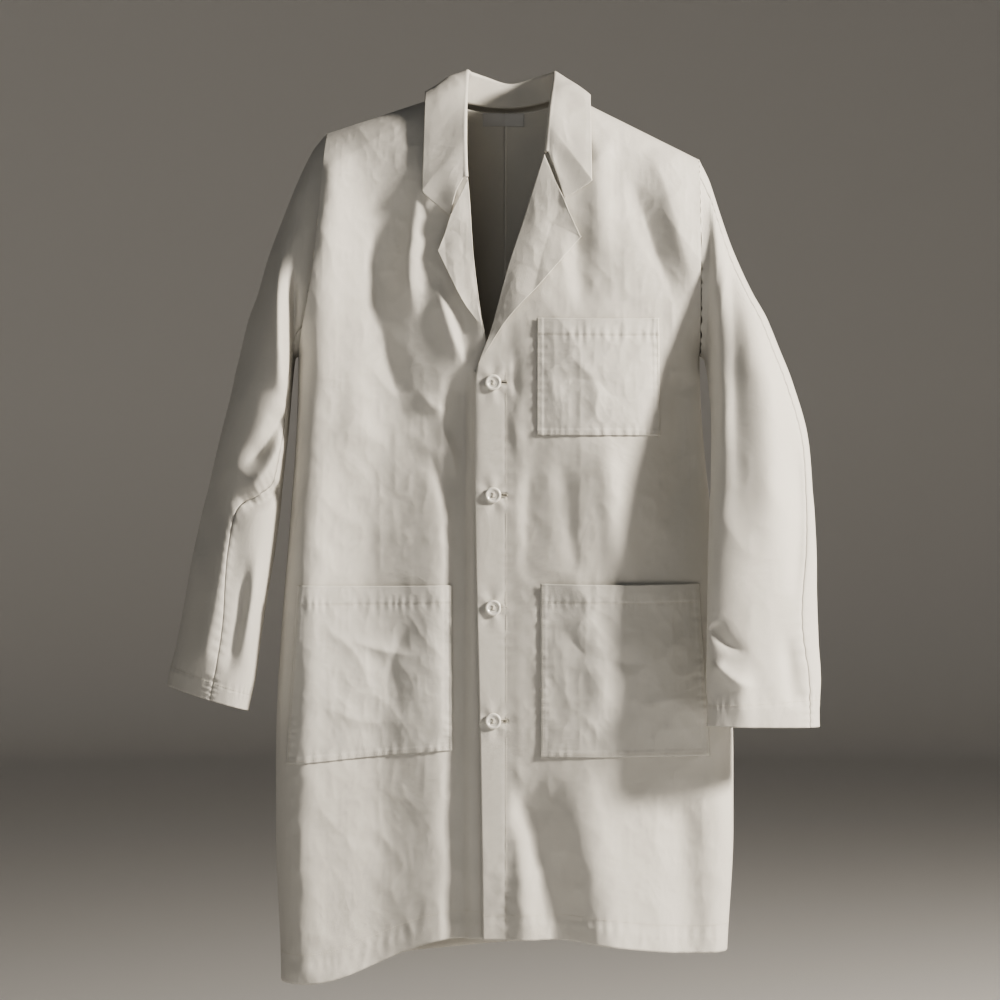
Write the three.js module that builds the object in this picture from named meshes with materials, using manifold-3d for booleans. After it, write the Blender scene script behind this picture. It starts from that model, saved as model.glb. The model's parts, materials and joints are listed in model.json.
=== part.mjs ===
// A white lab coat, buttoned, as it hangs from its shoulders.
// Millimetres, +Z up, front towards -Y, the wearer's left towards +X.
// The origin is the middle of the neck opening, level with the back neck seam.
import * as THREE from "three";
import { mergeVertices } from "three/addons/utils/BufferGeometryUtils.js";
import Module from "manifold-3d";

const wasm = await Module();
wasm.setup();

// Cloth and fits
const CLOTH = 1.2; // one modelled layer of cloth
const SEAM_GAP = 0.4; // between two sewn edges or two plies
const LAYER = CLOTH + SEAM_GAP; // from the face of one ply to the face of the next
const POCKET_LIFT = 0.9; // between a pocket's sewn edge and the front
const LAPEL_LIFT = 0.8; // between a turned-back lapel and the front
const UNDERLAP_SLOPE_ROOM = 0.5; // more room where the right front slopes under the left
const LAPEL_CLOTH = 2; // front and facing together

// Body
const NECK_HALF = 72;
const NECK_DROP = 2; // back neck seam below the origin
const BACK_LENGTH = 985; // back neck to hem
const FRONT_DEPTH = { chest: 62, hem: 80 };
const BACK_DEPTH = { chest: 55, hem: 70 };
const SIDE_ROUNDING = 2.6; // exponent of the body's rounded outline
const SHOULDER_ROUNDING = 2.5;
const SHOULDER_FALL = 150; // height over which the body reaches its full depth
const ARMHOLE_SPREAD = 62;
const ARMHOLE_SPREAD_HEIGHT = 110;
const HIP_Z = -760;
const ARMPIT_SHARE = 0.3; // share of a panel's rows above the armpit
const RIGHT = {
  sign: -1,
  name: "right",
  collarShoulder: [92, 6],
  tip: [207, -32],
  armpit: [241, -292],
  hip: 267,
  hemHalf: 252,
  sideHemDrop: 31,
};
const LEFT = {
  sign: 1,
  name: "left",
  collarShoulder: [98, 1],
  tip: [225, -62],
  armpit: [227, -292],
  hip: 266,
  hemHalf: 258,
  sideHemDrop: -3,
};

// Front opening
const CENTRE_X = -14; // middle of the buttons
const OVERLAP_HALF = 18;
const V_POINT_Z = -305;
const ROLL_TOP = { right: [-43, -89], left: [45, -60] };
const FACING_WIDTH = 58;
const FRONT_HEM_RISE = 22; // the centre front hem above the back hem
const UNDERLAP_SET_IN = 2 * LAYER + 0.4;

// Buttons and buttonholes
const BUTTON_COUNT = 4;
const BUTTON_DIAMETER = 18.7;
const BUTTON_THICKNESS = 3.2;
const FIRST_BUTTON_Z = -325;
const BUTTON_PITCH = 129.4;
const BUTTON_STAND_OFF = 0.6;
const BUTTON_HOLE_RADIUS = 0.95;
const BUTTON_HOLE_OFFSET = 1.9;
const THREAD_RADIUS = 0.6;
const SHANK_RADIUS = 1.2;
const BUTTONHOLE_LENGTH = BUTTON_DIAMETER + 0.5;
const BUTTONHOLE_HEIGHT = 2 * SHANK_RADIUS + 1;
const SHANK_TO_HOLE_END = 3.2;

// Pockets: inner top corner x, top z, width, height, gape
const CHEST_POCKET = { x: 36, z: -251, width: 141, height: 135, gape: 11, flare: 2, name: "chest_pocket" };
const LEFT_POCKET = { x: 40, z: -556, width: 184, height: 198, gape: 14, flare: 12, name: "left_pocket" };
const RIGHT_POCKET = { x: -61, z: -558, width: -178, height: 198, gape: 14, flare: -14, name: "right_pocket" };

// The skirt corner that folds open below the last button
const CORNER_BELOW_BUTTON = 42;
const CORNER_REACH = 170;
const CORNER_OVERRUN = 12;

// Label
const LABEL = { x: -2, width: 49, height: 15, thickness: 0.8 };

// Collar
const FOLD_RADIUS = 4.5;

const clamp01 = (k) => Math.min(Math.max(k, 0), 1);
const mix = (a, b, k) => a + (b - a) * k;

/** Rises smoothly from 0 at a to 1 at b. */
function smooth(a, b, x) {
  const k = clamp01((x - a) / (b - a));
  return k * k * (3 - 2 * k);
}

/** A smooth track through knots [t, ...values]; returns a function of t. */
function track(knots) {
  const slope = (i, c) => {
    const a = knots[Math.max(i - 1, 0)];
    const b = knots[Math.min(i + 1, knots.length - 1)];
    return (b[c] - a[c]) / (b[0] - a[0]);
  };
  return (t) => {
    let i = 0;
    while (i < knots.length - 2 && t > knots[i + 1][0]) i += 1;
    const [p, q] = [knots[i], knots[i + 1]];
    const span = q[0] - p[0];
    const k = clamp01((t - p[0]) / span);
    const out = [];
    for (let c = 1; c < p.length; c += 1) {
      const m0 = slope(i, c) * span;
      const m1 = slope(i + 1, c) * span;
      const k2 = k * k;
      const k3 = k2 * k;
      const ends = (2 * k3 - 3 * k2 + 1) * p[c] + (3 * k2 - 2 * k3) * q[c];
      out.push(ends + (k3 - 2 * k2 + k) * m0 + (k3 - k2) * m1);
    }
    return out;
  };
}

// ---- The body's surface -------------------------------------------------

/** Height of the shoulder line at x, carried on across the neck. */
function shoulderZ(x) {
  const line = ({ collarShoulder: [cx, cz], tip: [tx, tz] }) =>
    cz + ((Math.abs(x) - cx) * (tz - cz)) / (tx - cx);
  return mix(line(RIGHT), line(LEFT), smooth(-60, 60, x));
}

/** Half width of the body on one side at height z, below the armpit the side seam. */
function sideX(side, z) {
  const armpitZ = side.armpit[1];
  if (z > armpitZ) {
    return side.armpit[0] + ARMHOLE_SPREAD * smooth(0, ARMHOLE_SPREAD_HEIGHT, z - armpitZ);
  }
  const toHip = smooth(-armpitZ, -HIP_Z, -z);
  const toHem = smooth(-HIP_Z + 80, BACK_LENGTH + 30, -z);
  return mix(mix(side.armpit[0], side.hip, toHip), side.hemHalf, toHem);
}

/** Depth of the body's face at (x, z) for the given chest and hem depths. */
function bodyDepth(x, z, depth) {
  const side = x < 0 ? RIGHT : LEFT;
  const full = mix(depth.chest, depth.hem, smooth(300, BACK_LENGTH, -z));
  const fall = clamp01((shoulderZ(x) - z) / SHOULDER_FALL);
  const ridge = (1 - (1 - fall) ** SHOULDER_ROUNDING) ** (1 / SHOULDER_ROUNDING);
  const s = clamp01(Math.abs(x) / sideX(side, z));
  return full * ridge * (1 - s ** SIDE_ROUNDING) ** (1 / SIDE_ROUNDING);
}

const frontY = (x, z) => -bodyDepth(x, z, FRONT_DEPTH) - SEAM_GAP / 2;
const backY = (x, z) => bodyDepth(x, z, BACK_DEPTH) + SEAM_GAP / 2;

/** The right front passes behind the left front and its facing at the buttons. */
const rightFrontY = (x, z) => {
  const edge = CENTRE_X - OVERLAP_HALF;
  return frontY(x, z) + UNDERLAP_SET_IN * smooth(edge - 46, edge - 12, x);
};

/** Height of the hem at x. */
function hemZ(x) {
  const side = x < 0 ? RIGHT : LEFT;
  const middle = -BACK_LENGTH + FRONT_HEM_RISE;
  const outer = -BACK_LENGTH - side.sideHemDrop;
  return mix(middle, outer, smooth(50, 230, Math.abs(x)));
}

// ---- Cloth as closed solids ---------------------------------------------

/** A geometry from points and triangles, with its faces turned outwards. */
function closedGeometry(points, triangles) {
  let volume = 0;
  for (const [a, b, c] of triangles) {
    volume += points[a].dot(new THREE.Vector3().crossVectors(points[b], points[c]));
  }
  const index = triangles.flatMap(([a, b, c]) => (volume < 0 ? [a, c, b] : [a, b, c]));
  const geometry = new THREE.BufferGeometry();
  geometry.setFromPoints(points);
  geometry.setIndex(index);
  return geometry;
}

/** Normals of a grid of points, turned by sign. */
function gridNormals(grid, sign) {
  const rows = grid.length - 1;
  const columns = grid[0].length - 1;
  return grid.map((row, i) =>
    row.map((_, j) => {
      const across = grid[i][Math.min(j + 1, columns)].clone();
      across.sub(grid[i][Math.max(j - 1, 0)]);
      const along = grid[Math.min(i + 1, rows)][j].clone();
      along.sub(grid[Math.max(i - 1, 0)][j]);
      return across.cross(along).normalize().multiplyScalar(sign);
    }),
  );
}

/**
 * A sheet of cloth: the grid is its outer face, set in by `start` along the normals,
 * and its inner face lies `thickness` further in. `settle` may turn an edge's normal.
 * With `trim`, the first and last columns only steer the normals.
 */
function sheet(wide, { sign = 1, start = 0, thickness = CLOTH, trim = false, settle = () => {} }) {
  const inside = (row) => (trim ? row.slice(1, -1) : row);
  const normals = gridNormals(wide, sign).map(inside);
  const grid = wide.map(inside);
  const rows = grid.length;
  const columns = grid[0].length;
  const points = [];
  for (const depth of [start, start + thickness]) {
    grid.forEach((row, i) =>
      row.forEach((p, j) => {
        const n = normals[i][j].clone();
        settle(n, i, j, rows - 1, columns - 1);
        points.push(p.clone().addScaledVector(n.normalize(), -depth));
      }),
    );
  }
  const at = (face, i, j) => face * rows * columns + i * columns + j;
  const triangles = [];
  const quad = (a, b, c, d) => triangles.push([a, b, c], [a, c, d]);
  for (let i = 0; i < rows - 1; i += 1) {
    for (let j = 0; j < columns - 1; j += 1) {
      quad(at(0, i, j), at(0, i, j + 1), at(0, i + 1, j + 1), at(0, i + 1, j));
      quad(at(1, i, j), at(1, i + 1, j), at(1, i + 1, j + 1), at(1, i, j + 1));
    }
  }
  const border = [];
  for (let j = 0; j < columns - 1; j += 1) border.push([0, j]);
  for (let i = 0; i < rows - 1; i += 1) border.push([i, columns - 1]);
  for (let j = columns - 1; j > 0; j -= 1) border.push([rows - 1, j]);
  for (let i = rows - 1; i > 0; i -= 1) border.push([i, 0]);
  border.forEach(([i, j], k) => {
    const [p, q] = border[(k + 1) % border.length];
    quad(at(0, p, q), at(0, i, j), at(1, i, j), at(1, p, q));
  });
  return closedGeometry(points, triangles);
}

/** A grid of points from a function of (u, t), with the given steps and spacing. */
function gridOf(point, across, down, spaceU = (k) => k, spaceT = (k) => k) {
  const grid = [];
  for (let i = 0; i <= down; i += 1) {
    const row = [];
    for (let j = 0; j <= across; j += 1) row.push(point(spaceU(j / across), spaceT(i / down)));
    grid.push(row);
  }
  return grid;
}

/** A patch in (x, z) between an inner and an outer edge with a top and a bottom edge. */
function patch(inner, outer, top, bottom) {
  const corners = { a: inner(0), b: outer(0), c: inner(1), d: outer(1) };
  return (u, t) =>
    [0, 1].map((axis) => {
      const sides = mix(inner(t)[axis], outer(t)[axis], u);
      const ends = mix(top(u)[axis], bottom(u)[axis], t);
      const upper = mix(corners.a[axis], corners.b[axis], u);
      const lower = mix(corners.c[axis], corners.d[axis], u);
      return sides + ends - mix(upper, lower, t);
    });
}

// ---- Booleans -----------------------------------------------------------

/** A geometry as a solid that can be cut. */
function solid(geometry) {
  const plain = geometry.clone();
  plain.deleteAttribute("normal");
  plain.deleteAttribute("uv");
  const merged = mergeVertices(plain, 1e-4);
  return new wasm.Manifold(
    new wasm.Mesh({
      numProp: 3,
      vertProperties: new Float32Array(merged.attributes.position.array),
      triVerts: new Uint32Array(merged.index.array),
    }),
  );
}

/** A solid back as a geometry. */
function geometryOf(body) {
  const mesh = body.getMesh();
  const geometry = new THREE.BufferGeometry();
  geometry.setAttribute("position", new THREE.BufferAttribute(mesh.vertProperties, 3));
  geometry.setIndex(new THREE.BufferAttribute(mesh.triVerts, 1));
  return geometry;
}

/** A round bar along Y between two depths. */
function barY(radius, x, y0, y1, z, sides = 8) {
  const bar = new THREE.CylinderGeometry(radius, radius, Math.abs(y1 - y0), sides);
  return bar.translate(x, (y0 + y1) / 2, z);
}

// ---- Body panels --------------------------------------------------------

/** Outer edge of a body panel: shoulder tip, armhole, side seam, hem. */
function outerEdge(side) {
  const [tx, tz] = side.tip;
  const [ax, az] = side.armpit;
  const end = -BACK_LENGTH - side.sideHemDrop;
  const armhole = track([
    [0, tx, tz],
    [0.12, mix(tx, ax, 0.2), mix(tz, az, 0.34)],
    [0.21, mix(tx, ax, 0.5), mix(tz, az, 0.68)],
    [ARMPIT_SHARE, ax, az],
  ]);
  return (t) => {
    if (t < ARMPIT_SHARE) {
      const [x, z] = armhole(t);
      return [side.sign * x, z];
    }
    const z = mix(az, end, (t - ARMPIT_SHARE) / (1 - ARMPIT_SHARE));
    return [side.sign * sideX(side, z), z];
  };
}

/** Inner edge of the right front: neck, roll line, then the underlap. */
function rightInnerEdge() {
  const [rx, rz] = ROLL_TOP.right;
  const edge = CENTRE_X + OVERLAP_HALF - 2;
  return track([
    [0, -NECK_HALF, shoulderZ(-NECK_HALF)],
    [0.08, mix(-NECK_HALF, rx, 0.5), mix(shoulderZ(-NECK_HALF), rz, 0.46)],
    [0.16, rx, rz],
    [0.22, rx + 7, rz - 94],
    [0.3, CENTRE_X - 9, V_POINT_Z + 36],
    [0.37, edge - 4, V_POINT_Z - 35],
    [0.46, edge, mix(V_POINT_Z, hemZ(edge), 0.22)],
    [1, edge, hemZ(edge)],
  ]);
}

/** Inner edge of the left front: neck, roll line, then the buttoned edge. */
function leftInnerEdge() {
  const [rx, rz] = ROLL_TOP.left;
  const edge = CENTRE_X - OVERLAP_HALF;
  return track([
    [0, NECK_HALF, shoulderZ(NECK_HALF)],
    [0.05, mix(NECK_HALF, rx, 0.4), mix(shoulderZ(NECK_HALF), rz, 0.4)],
    [0.1, rx, rz],
    [0.18, 18, rz - 87],
    [0.23, 4, rz - 130],
    [0.28, CENTRE_X - 2, V_POINT_Z + 40],
    [0.32, edge, V_POINT_Z],
    [0.36, edge - 4, V_POINT_Z - 40],
    [0.46, edge - 4, V_POINT_Z - 149],
    [0.76, edge + 3, mix(V_POINT_Z, hemZ(edge), 0.69)],
    [1, edge + 6, hemZ(edge)],
  ]);
}

const closer = (k) => 1 - (1 - k) ** 1.7; // columns crowd towards the side seam
const topFirst = (k) => k ** 1.35; // rows crowd towards the shoulder

/** Edge normals that keep front and back clear of each other at their seams. */
function settleSeams(n, i, j, lastRow, lastColumn) {
  const belowArmpit = topFirst(i / lastRow) >= ARMPIT_SHARE;
  if (i === 0 || (j === lastColumn && belowArmpit)) n.y = 0;
}

/** A front panel from its inner edge, its side and its depth function. */
function frontPanel(inner, side, depthAt) {
  const outer = outerEdge(side);
  const top = (u) => [mix(inner(0)[0], outer(0)[0], u), mix(inner(0)[1], outer(0)[1], u)];
  const bottom = (u) => {
    const x = mix(inner(1)[0], outer(1)[0], u);
    return [x, hemZ(x)];
  };
  const flat = patch(inner, outer, top, bottom);
  const point = (u, t) => {
    const [x, z] = flat(u, t);
    const y = t === 0 || u === 1 ? frontEdgeY(u, t, x, z) : depthAt(x, z);
    return new THREE.Vector3(x, y, z);
  };
  return sheet(gridOf(point, 10, 22, closer, topFirst), { sign: -side.sign, settle: settleSeams });
}

/** A front panel's y on the shoulder seam, the armhole and the side seam. */
function frontEdgeY(u, t, x, z) {
  return t === 0 || t >= ARMPIT_SHARE ? -SEAM_GAP / 2 : frontY(x, z);
}

/** A back panel, from the centre back seam to the side. */
function backPanel(side) {
  const outer = outerEdge(side);
  const inner = (t) => [(side.sign * SEAM_GAP) / 2, mix(-NECK_DROP, -BACK_LENGTH, t)];
  const neckShare = NECK_HALF / side.tip[0];
  const top = (u) => {
    const x = side.sign * mix(SEAM_GAP / 2, side.tip[0], u);
    const seam = shoulderZ(side.sign * Math.max(Math.abs(x), NECK_HALF));
    const neck = mix(-NECK_DROP, seam, clamp01(u / neckShare) ** 3);
    return [x, u < neckShare ? neck : seam];
  };
  const bottom = (u) => [mix(inner(1)[0], outer(1)[0], u), mix(inner(1)[1], outer(1)[1], u)];
  const flat = patch((t) => inner(backRow(t)), outer, top, bottom);
  const point = (u, t) => {
    const [x, z] = flat(u, t);
    const onSeam = (t === 0 && u >= neckShare) || (u === 1 && t >= ARMPIT_SHARE);
    return new THREE.Vector3(x, onSeam ? SEAM_GAP / 2 : backY(x, z), z);
  };
  const settle = (n, i, j, lastRow, lastColumn) => {
    if (j === 0) n.x = 0;
    settleSeams(n, i === 0 && j < 4 ? 1 : i, j, lastRow, lastColumn);
  };
  const columns = (k) => (k < 0.4 ? (k / 0.4) * neckShare : mix(neckShare, 1, closer((k - 0.4) / 0.6)));
  return sheet(gridOf(point, 10, 18, columns, topFirst), { sign: side.sign, settle });
}

const BACK_ARMPIT = -RIGHT.armpit[1] / BACK_LENGTH;

/** Keeps a back panel's rows level with its armhole and side seam. */
const backRow = (t) => (t < ARMPIT_SHARE ? (t * BACK_ARMPIT) / ARMPIT_SHARE : mix(BACK_ARMPIT, 1, (t - ARMPIT_SHARE) / (1 - ARMPIT_SHARE)));

/** The facing inside a front edge, from below the roll line to the hem. */
function facing(edgeX, direction, depthAt) {
  const top = V_POINT_Z - 6;
  const point = (u, t) => {
    const x = edgeX(t) + direction * u * FACING_WIDTH;
    const z = mix(top, hemZ(x) + 1, t);
    return new THREE.Vector3(x, depthAt(x, z) + LAYER, z);
  };
  return sheet(gridOf(point, 4, 10), { sign: -direction });
}

// ---- Lapels -------------------------------------------------------------

/** A turned-back lapel between its roll line and its free edge, V point first. */
function lapel(roll, free, sign, depthAt) {
  const point = (u, t) => {
    const [rx, rz] = roll(t);
    const [fx, fz] = free(t);
    const x = mix(rx, fx, u);
    const z = mix(rz, fz, u);
    return new THREE.Vector3(x, depthAt(x, z) - LAPEL_LIFT - LAPEL_CLOTH, z);
  };
  return sheet(gridOf(point, 4, 10), { sign, thickness: LAPEL_CLOTH });
}

function rightLapel() {
  const [rx, rz] = ROLL_TOP.right;
  const vx = CENTRE_X - 12;
  const vz = V_POINT_Z + 44;
  const roll = track([
    [0, vx, vz],
    [0.5, rx + 7, rz - 94],
    [1, rx + 1, rz - 4],
  ]);
  const free = track([
    [0, vx - 2, vz + 1],
    [0.35, vx - 24, vz + 32],
    [0.7, vx - 51, vz + 86],
    [0.85, vx - 44, vz + 106],
    [1, rx - 19, rz - 46],
  ]);
  return lapel(roll, free, -1, (x, z) => rightFrontY(x, z) - UNDERLAP_SLOPE_ROOM);
}

function leftLapel() {
  const [rx, rz] = ROLL_TOP.left;
  const vx = CENTRE_X - OVERLAP_HALF + 2;
  const roll = track([
    [0, vx, V_POINT_Z + 2],
    [0.2, vx + 16, V_POINT_Z + 42],
    [0.5, 5, rz - 130],
    [0.7, 19, rz - 87],
    [1, rx - 1, rz - 6],
  ]);
  const free = track([
    [0, vx + 2, V_POINT_Z + 3],
    [0.25, vx + 32, V_POINT_Z + 51],
    [0.5, vx + 68, V_POINT_Z + 90],
    [0.75, rx + 41, rz - 99],
    [0.88, rx + 32, rz - 80],
    [1, rx + 21, rz - 58],
  ]);
  return lapel(roll, free, 1, frontY);
}

// ---- Collar -------------------------------------------------------------

const onFront = (x, z, lift) => [x, frontY(x, z) - lift, z];

/** The collar's three guide lines, from the right gorge round the neck to the left gorge. */
function collarGuides() {
  const [rx, rz] = ROLL_TOP.right;
  const [lx, lz] = ROLL_TOP.left;
  const outR = RIGHT.collarShoulder[0];
  const outL = LEFT.collarShoulder[0];
  const seam = track([
    [0, rx - 4, frontY(rx, rz) - 1, rz + 4],
    [0.12, ...onFront(-52, -30, -4)],
    [0.25, -NECK_HALF + 6, -4, shoulderZ(-NECK_HALF) + 8],
    [0.36, -50, 33, 11],
    [0.5, 4, backY(4, 4) - 6, 5],
    [0.64, 54, 33, 13],
    [0.75, NECK_HALF - 6, -4, shoulderZ(NECK_HALF) + 8],
    [0.88, ...onFront(50, -13, -4)],
    [1, lx + 4, frontY(lx, lz) - 1, lz + 5],
  ]);
  const crease = track([
    [0, rx, frontY(rx, rz) - 9, rz],
    [0.12, ...onFront(rx - 1, -28, 10)],
    [0.25, rx + 1, 2, 38],
    [0.36, -26, 38, 42],
    [0.5, 7, 50, 36],
    [0.64, 40, 40, 42],
    [0.75, 56, 4, 39],
    [0.88, ...onFront(50, -10, 10)],
    [1, lx, frontY(lx, lz) - 9, lz],
  ]);
  const edge = track([
    [0, ...onFront(rx - 20, rz - 44, 6)],
    [0.05, ...onFront(rx - 51, rz - 18, 7)],
    [0.14, ...onFront(-outR - 2, -50, 9)],
    [0.2, -outR - 1, -38, 3],
    [0.25, -outR, -4, 17],
    [0.36, -68, 48, 6],
    [0.5, 4, 62, -14],
    [0.64, 72, 48, 4],
    [0.75, outL, -4, 14],
    [0.8, outL + 1, -38, -1],
    [0.86, ...onFront(outL + 1, -44, 9)],
    [0.95, ...onFront(lx + 54, lz - 34, 7)],
    [1, ...onFront(lx + 22, lz - 54, 6)],
  ]);
  return { seam, crease, edge };
}

/** One ply of the collar, folded over its crease, set in by `start`. */
function collarPly(start) {
  const { seam, crease, edge } = collarGuides();
  const foldSteps = 4;
  const standSteps = 2;
  const fallSteps = 4;
  const steps = standSteps + foldSteps + fallSteps;
  const point = (u, w) => {
    const s = new THREE.Vector3(...seam(w));
    const c = new THREE.Vector3(...crease(w));
    const e = new THREE.Vector3(...edge(w));
    const along = new THREE.Vector3(...crease(Math.min(w + 0.01, 1)));
    along.sub(new THREE.Vector3(...crease(Math.max(w - 0.01, 0)))).normalize();
    const down = s.clone().add(e).multiplyScalar(0.5).sub(c);
    down.addScaledVector(along, -down.dot(along)).normalize();
    const out = new THREE.Vector3().crossVectors(along, down).normalize();
    const k = Math.round(u * steps);
    const rim = (angle) =>
      c.clone()
        .addScaledVector(down, FOLD_RADIUS * (1 - Math.sin(angle)))
        .addScaledVector(out, FOLD_RADIUS * Math.cos(angle));
    const inside = rim(Math.PI);
    const outside = rim(0);
    if (k < standSteps) return s.lerp(inside, k / standSteps);
    if (k <= standSteps + foldSteps) return rim(Math.PI * (1 - (k - standSteps) / foldSteps));
    return outside.lerp(e, (k - standSteps - foldSteps) / fallSteps);
  };
  return sheet(gridOf(point, steps, 26), { sign: -1, start });
}

/** The woven label under the back neck seam. */
function neckLabel() {
  const point = (u, t) => {
    const x = LABEL.x + (u - 0.5) * LABEL.width;
    const z = -NECK_DROP - 1 - t * LABEL.height;
    return new THREE.Vector3(x, backY(x, z) - CLOTH - SEAM_GAP, z);
  };
  return sheet(gridOf(point, 4, 2), { sign: -1, thickness: -LABEL.thickness });
}

// ---- Pockets ------------------------------------------------------------

/** A patch pocket, sewn at its sides and bottom and open at its mouth. */
function pocket({ x, z, width, height, gape, flare }) {
  const point = (u, t) => {
    const px = x + u * (width + flare * t);
    const pz = z - t * height;
    const stand = gape * Math.sin(Math.PI * u) ** 0.7 * (1 - t ** 3);
    return new THREE.Vector3(px, frontY(px, pz) - POCKET_LIFT - CLOTH - stand, pz);
  };
  const ends = (k) => (1 - Math.cos(Math.PI * k)) / 2;
  return sheet(gridOf(point, 10, 7, ends), { sign: width > 0 ? -1 : 1 });
}

// ---- Sleeves ------------------------------------------------------------

/** The hang of the wearer's right sleeve: just outside the side seam. */
const RIGHT_SLEEVE = {
  side: RIGHT,
  // share, drop below the armpit, clearance from the side seam
  inner: [
    [0, 0, 0.6],
    [0.05, 5, 5],
    [0.15, 33, 7],
    [0.28, 83, 8],
    [0.5, 203, 13],
    [0.7, 290, 19],
    [0.85, 355, 24],
    [1, 411, 30],
  ],
  // share, width outwards, rise from the inner to the outer edge
  width: [
    [0.15, 6, 207],
    [0.28, 37, 164],
    [0.5, 64, 127],
    [0.7, 82, 76],
    [0.85, 91, 42],
    [1, 96, 28],
  ],
  // share, forward set, half depth
  depth: [
    [0, 0, 48],
    [0.15, -4, 54],
    [0.4, -14, 50],
    [0.7, -22, 43],
    [1, -26, 38],
  ],
  topFrom: -110,
  topTo: 100,
};

/** The hang of the wearer's left sleeve: forward, in front of the side seam. */
const LEFT_SLEEVE = {
  side: LEFT,
  inner: [
    [0, 0, 0.6],
    [0.05, 6, 6],
    [0.15, 30, 8],
    [0.3, 88, 5],
    [0.5, 188, -9],
    [0.75, 308, -27],
    [1, 423, -38],
  ],
  width: [
    [0.15, 26, 162],
    [0.3, 68, 125],
    [0.5, 112, 110],
    [0.65, 124, 72],
    [0.8, 128, 34],
    [1, 133, -4],
  ],
  depth: [
    [0, 0, 48],
    [0.08, -8, 50],
    [0.15, -22, 50],
    [0.3, -60, 45],
    [0.5, -94, 38],
    [0.75, -106, 32],
    [1, -106, 29],
  ],
  topFrom: 40,
  topTo: 250,
};

const SLEEVE_SEAM = 0.375 * CLOTH; // degrees left free at each sleeve seam
const ARMHOLE_GAP = 0.6; // between the body's edge and the sleeve's edge

/** A point on a sleeve: t runs from armhole to cuff, angle from the outer edge over the front. */
function sleevePoint({ side, inner, width, depth }) {
  const [ax, az] = side.armpit;
  const [tx, tz] = side.tip;
  const armhole = outerEdge(side);
  const innerTrack = track(inner);
  const widthTrack = track([[0, tx - ax, tz - az], ...width]);
  const depthTrack = track(depth);
  return (angle, t) => {
    const [drop, clear] = innerTrack(t);
    const [w, rise] = widthTrack(t);
    const [forward, half] = depthTrack(t);
    const z0 = az - drop;
    const x0 = sideX(side, Math.min(z0, az)) + clear;
    const share = (1 + Math.cos(angle)) / 2;
    const x = x0 + w * share;
    const z = z0 + rise * share;
    const tube = forward - half * Math.sin(angle);
    const [hx, hz] = armhole(ARMPIT_SHARE * (1 - share));
    const faceY = Math.sin(angle) >= 0 ? frontY : backY;
    const start = Math.abs(Math.sin(angle)) < 1e-6 ? 0 : faceY(hx, hz);
    const k = smooth(0, 0.15, t);
    const px = mix(Math.abs(hx) + ARMHOLE_GAP, x, smooth(0, 0.04, t));
    const pz = mix(hz, z, smooth(0, 0.04, t));
    return new THREE.Vector3(side.sign * px, mix(start, tube, k), pz);
  };
}

/** One of a sleeve's two pieces, between two seam angles in degrees. */
function sleevePiece(sleeve, from, to) {
  const at = sleevePoint(sleeve);
  const columns = 9;
  const spread = (k) => (k * (columns + 2) - 1) / columns;
  const point = (u, t) => at(THREE.MathUtils.degToRad(mix(from + SLEEVE_SEAM, to - SLEEVE_SEAM, u)), t);
  const grid = gridOf(point, columns + 2, 12, spread, (k) => k ** 1.2);
  const settle = (n, i) => {
    if (i === 0) n.x = 0;
  };
  return sheet(grid, { sign: sleeve.side.sign, trim: true, settle });
}

// ---- Buttons ------------------------------------------------------------

/** A four-hole resin button with a raised rim, its back at y = 0, facing -Y. */
function buttonGeometry() {
  const r = BUTTON_DIAMETER / 2;
  const h = BUTTON_THICKNESS;
  const profile = [
    [0, 0],
    [r * 0.8, 0],
    [r, h * 0.45],
    [r * 0.95, h * 0.85],
    [r * 0.82, h],
    [r * 0.64, h * 0.9],
    [r * 0.52, h * 0.6],
    [0, h * 0.55],
  ];
  const lathe = new THREE.LatheGeometry(
    profile.map(([a, b]) => new THREE.Vector2(a, b)),
    24,
  );
  lathe.scale(1, -1, 1);
  let body = solid(closedGeometryFrom(lathe));
  for (const [dx, dz] of holeCentres()) {
    body = body.subtract(solid(barY(BUTTON_HOLE_RADIUS, dx, -h - 1, 1, dz)));
  }
  return geometryOf(body);
}

/** A lathe as a merged geometry with its faces outwards. */
function closedGeometryFrom(geometry) {
  const plain = geometry.clone();
  plain.deleteAttribute("normal");
  plain.deleteAttribute("uv");
  const merged = mergeVertices(plain, 1e-4);
  const p = merged.attributes.position;
  const points = [];
  for (let i = 0; i < p.count; i += 1) points.push(new THREE.Vector3().fromBufferAttribute(p, i));
  const triangles = [];
  for (let i = 0; i < merged.index.count; i += 3) {
    const [a, b, c] = merged.index.array.slice(i, i + 3);
    if (a !== b && b !== c && a !== c) triangles.push([a, b, c]);
  }
  return closedGeometry(points, triangles);
}

const holeCentres = () =>
  [-1, 1].flatMap((a) => [-1, 1].map((b) => [a * BUTTON_HOLE_OFFSET, b * BUTTON_HOLE_OFFSET]));

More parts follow.
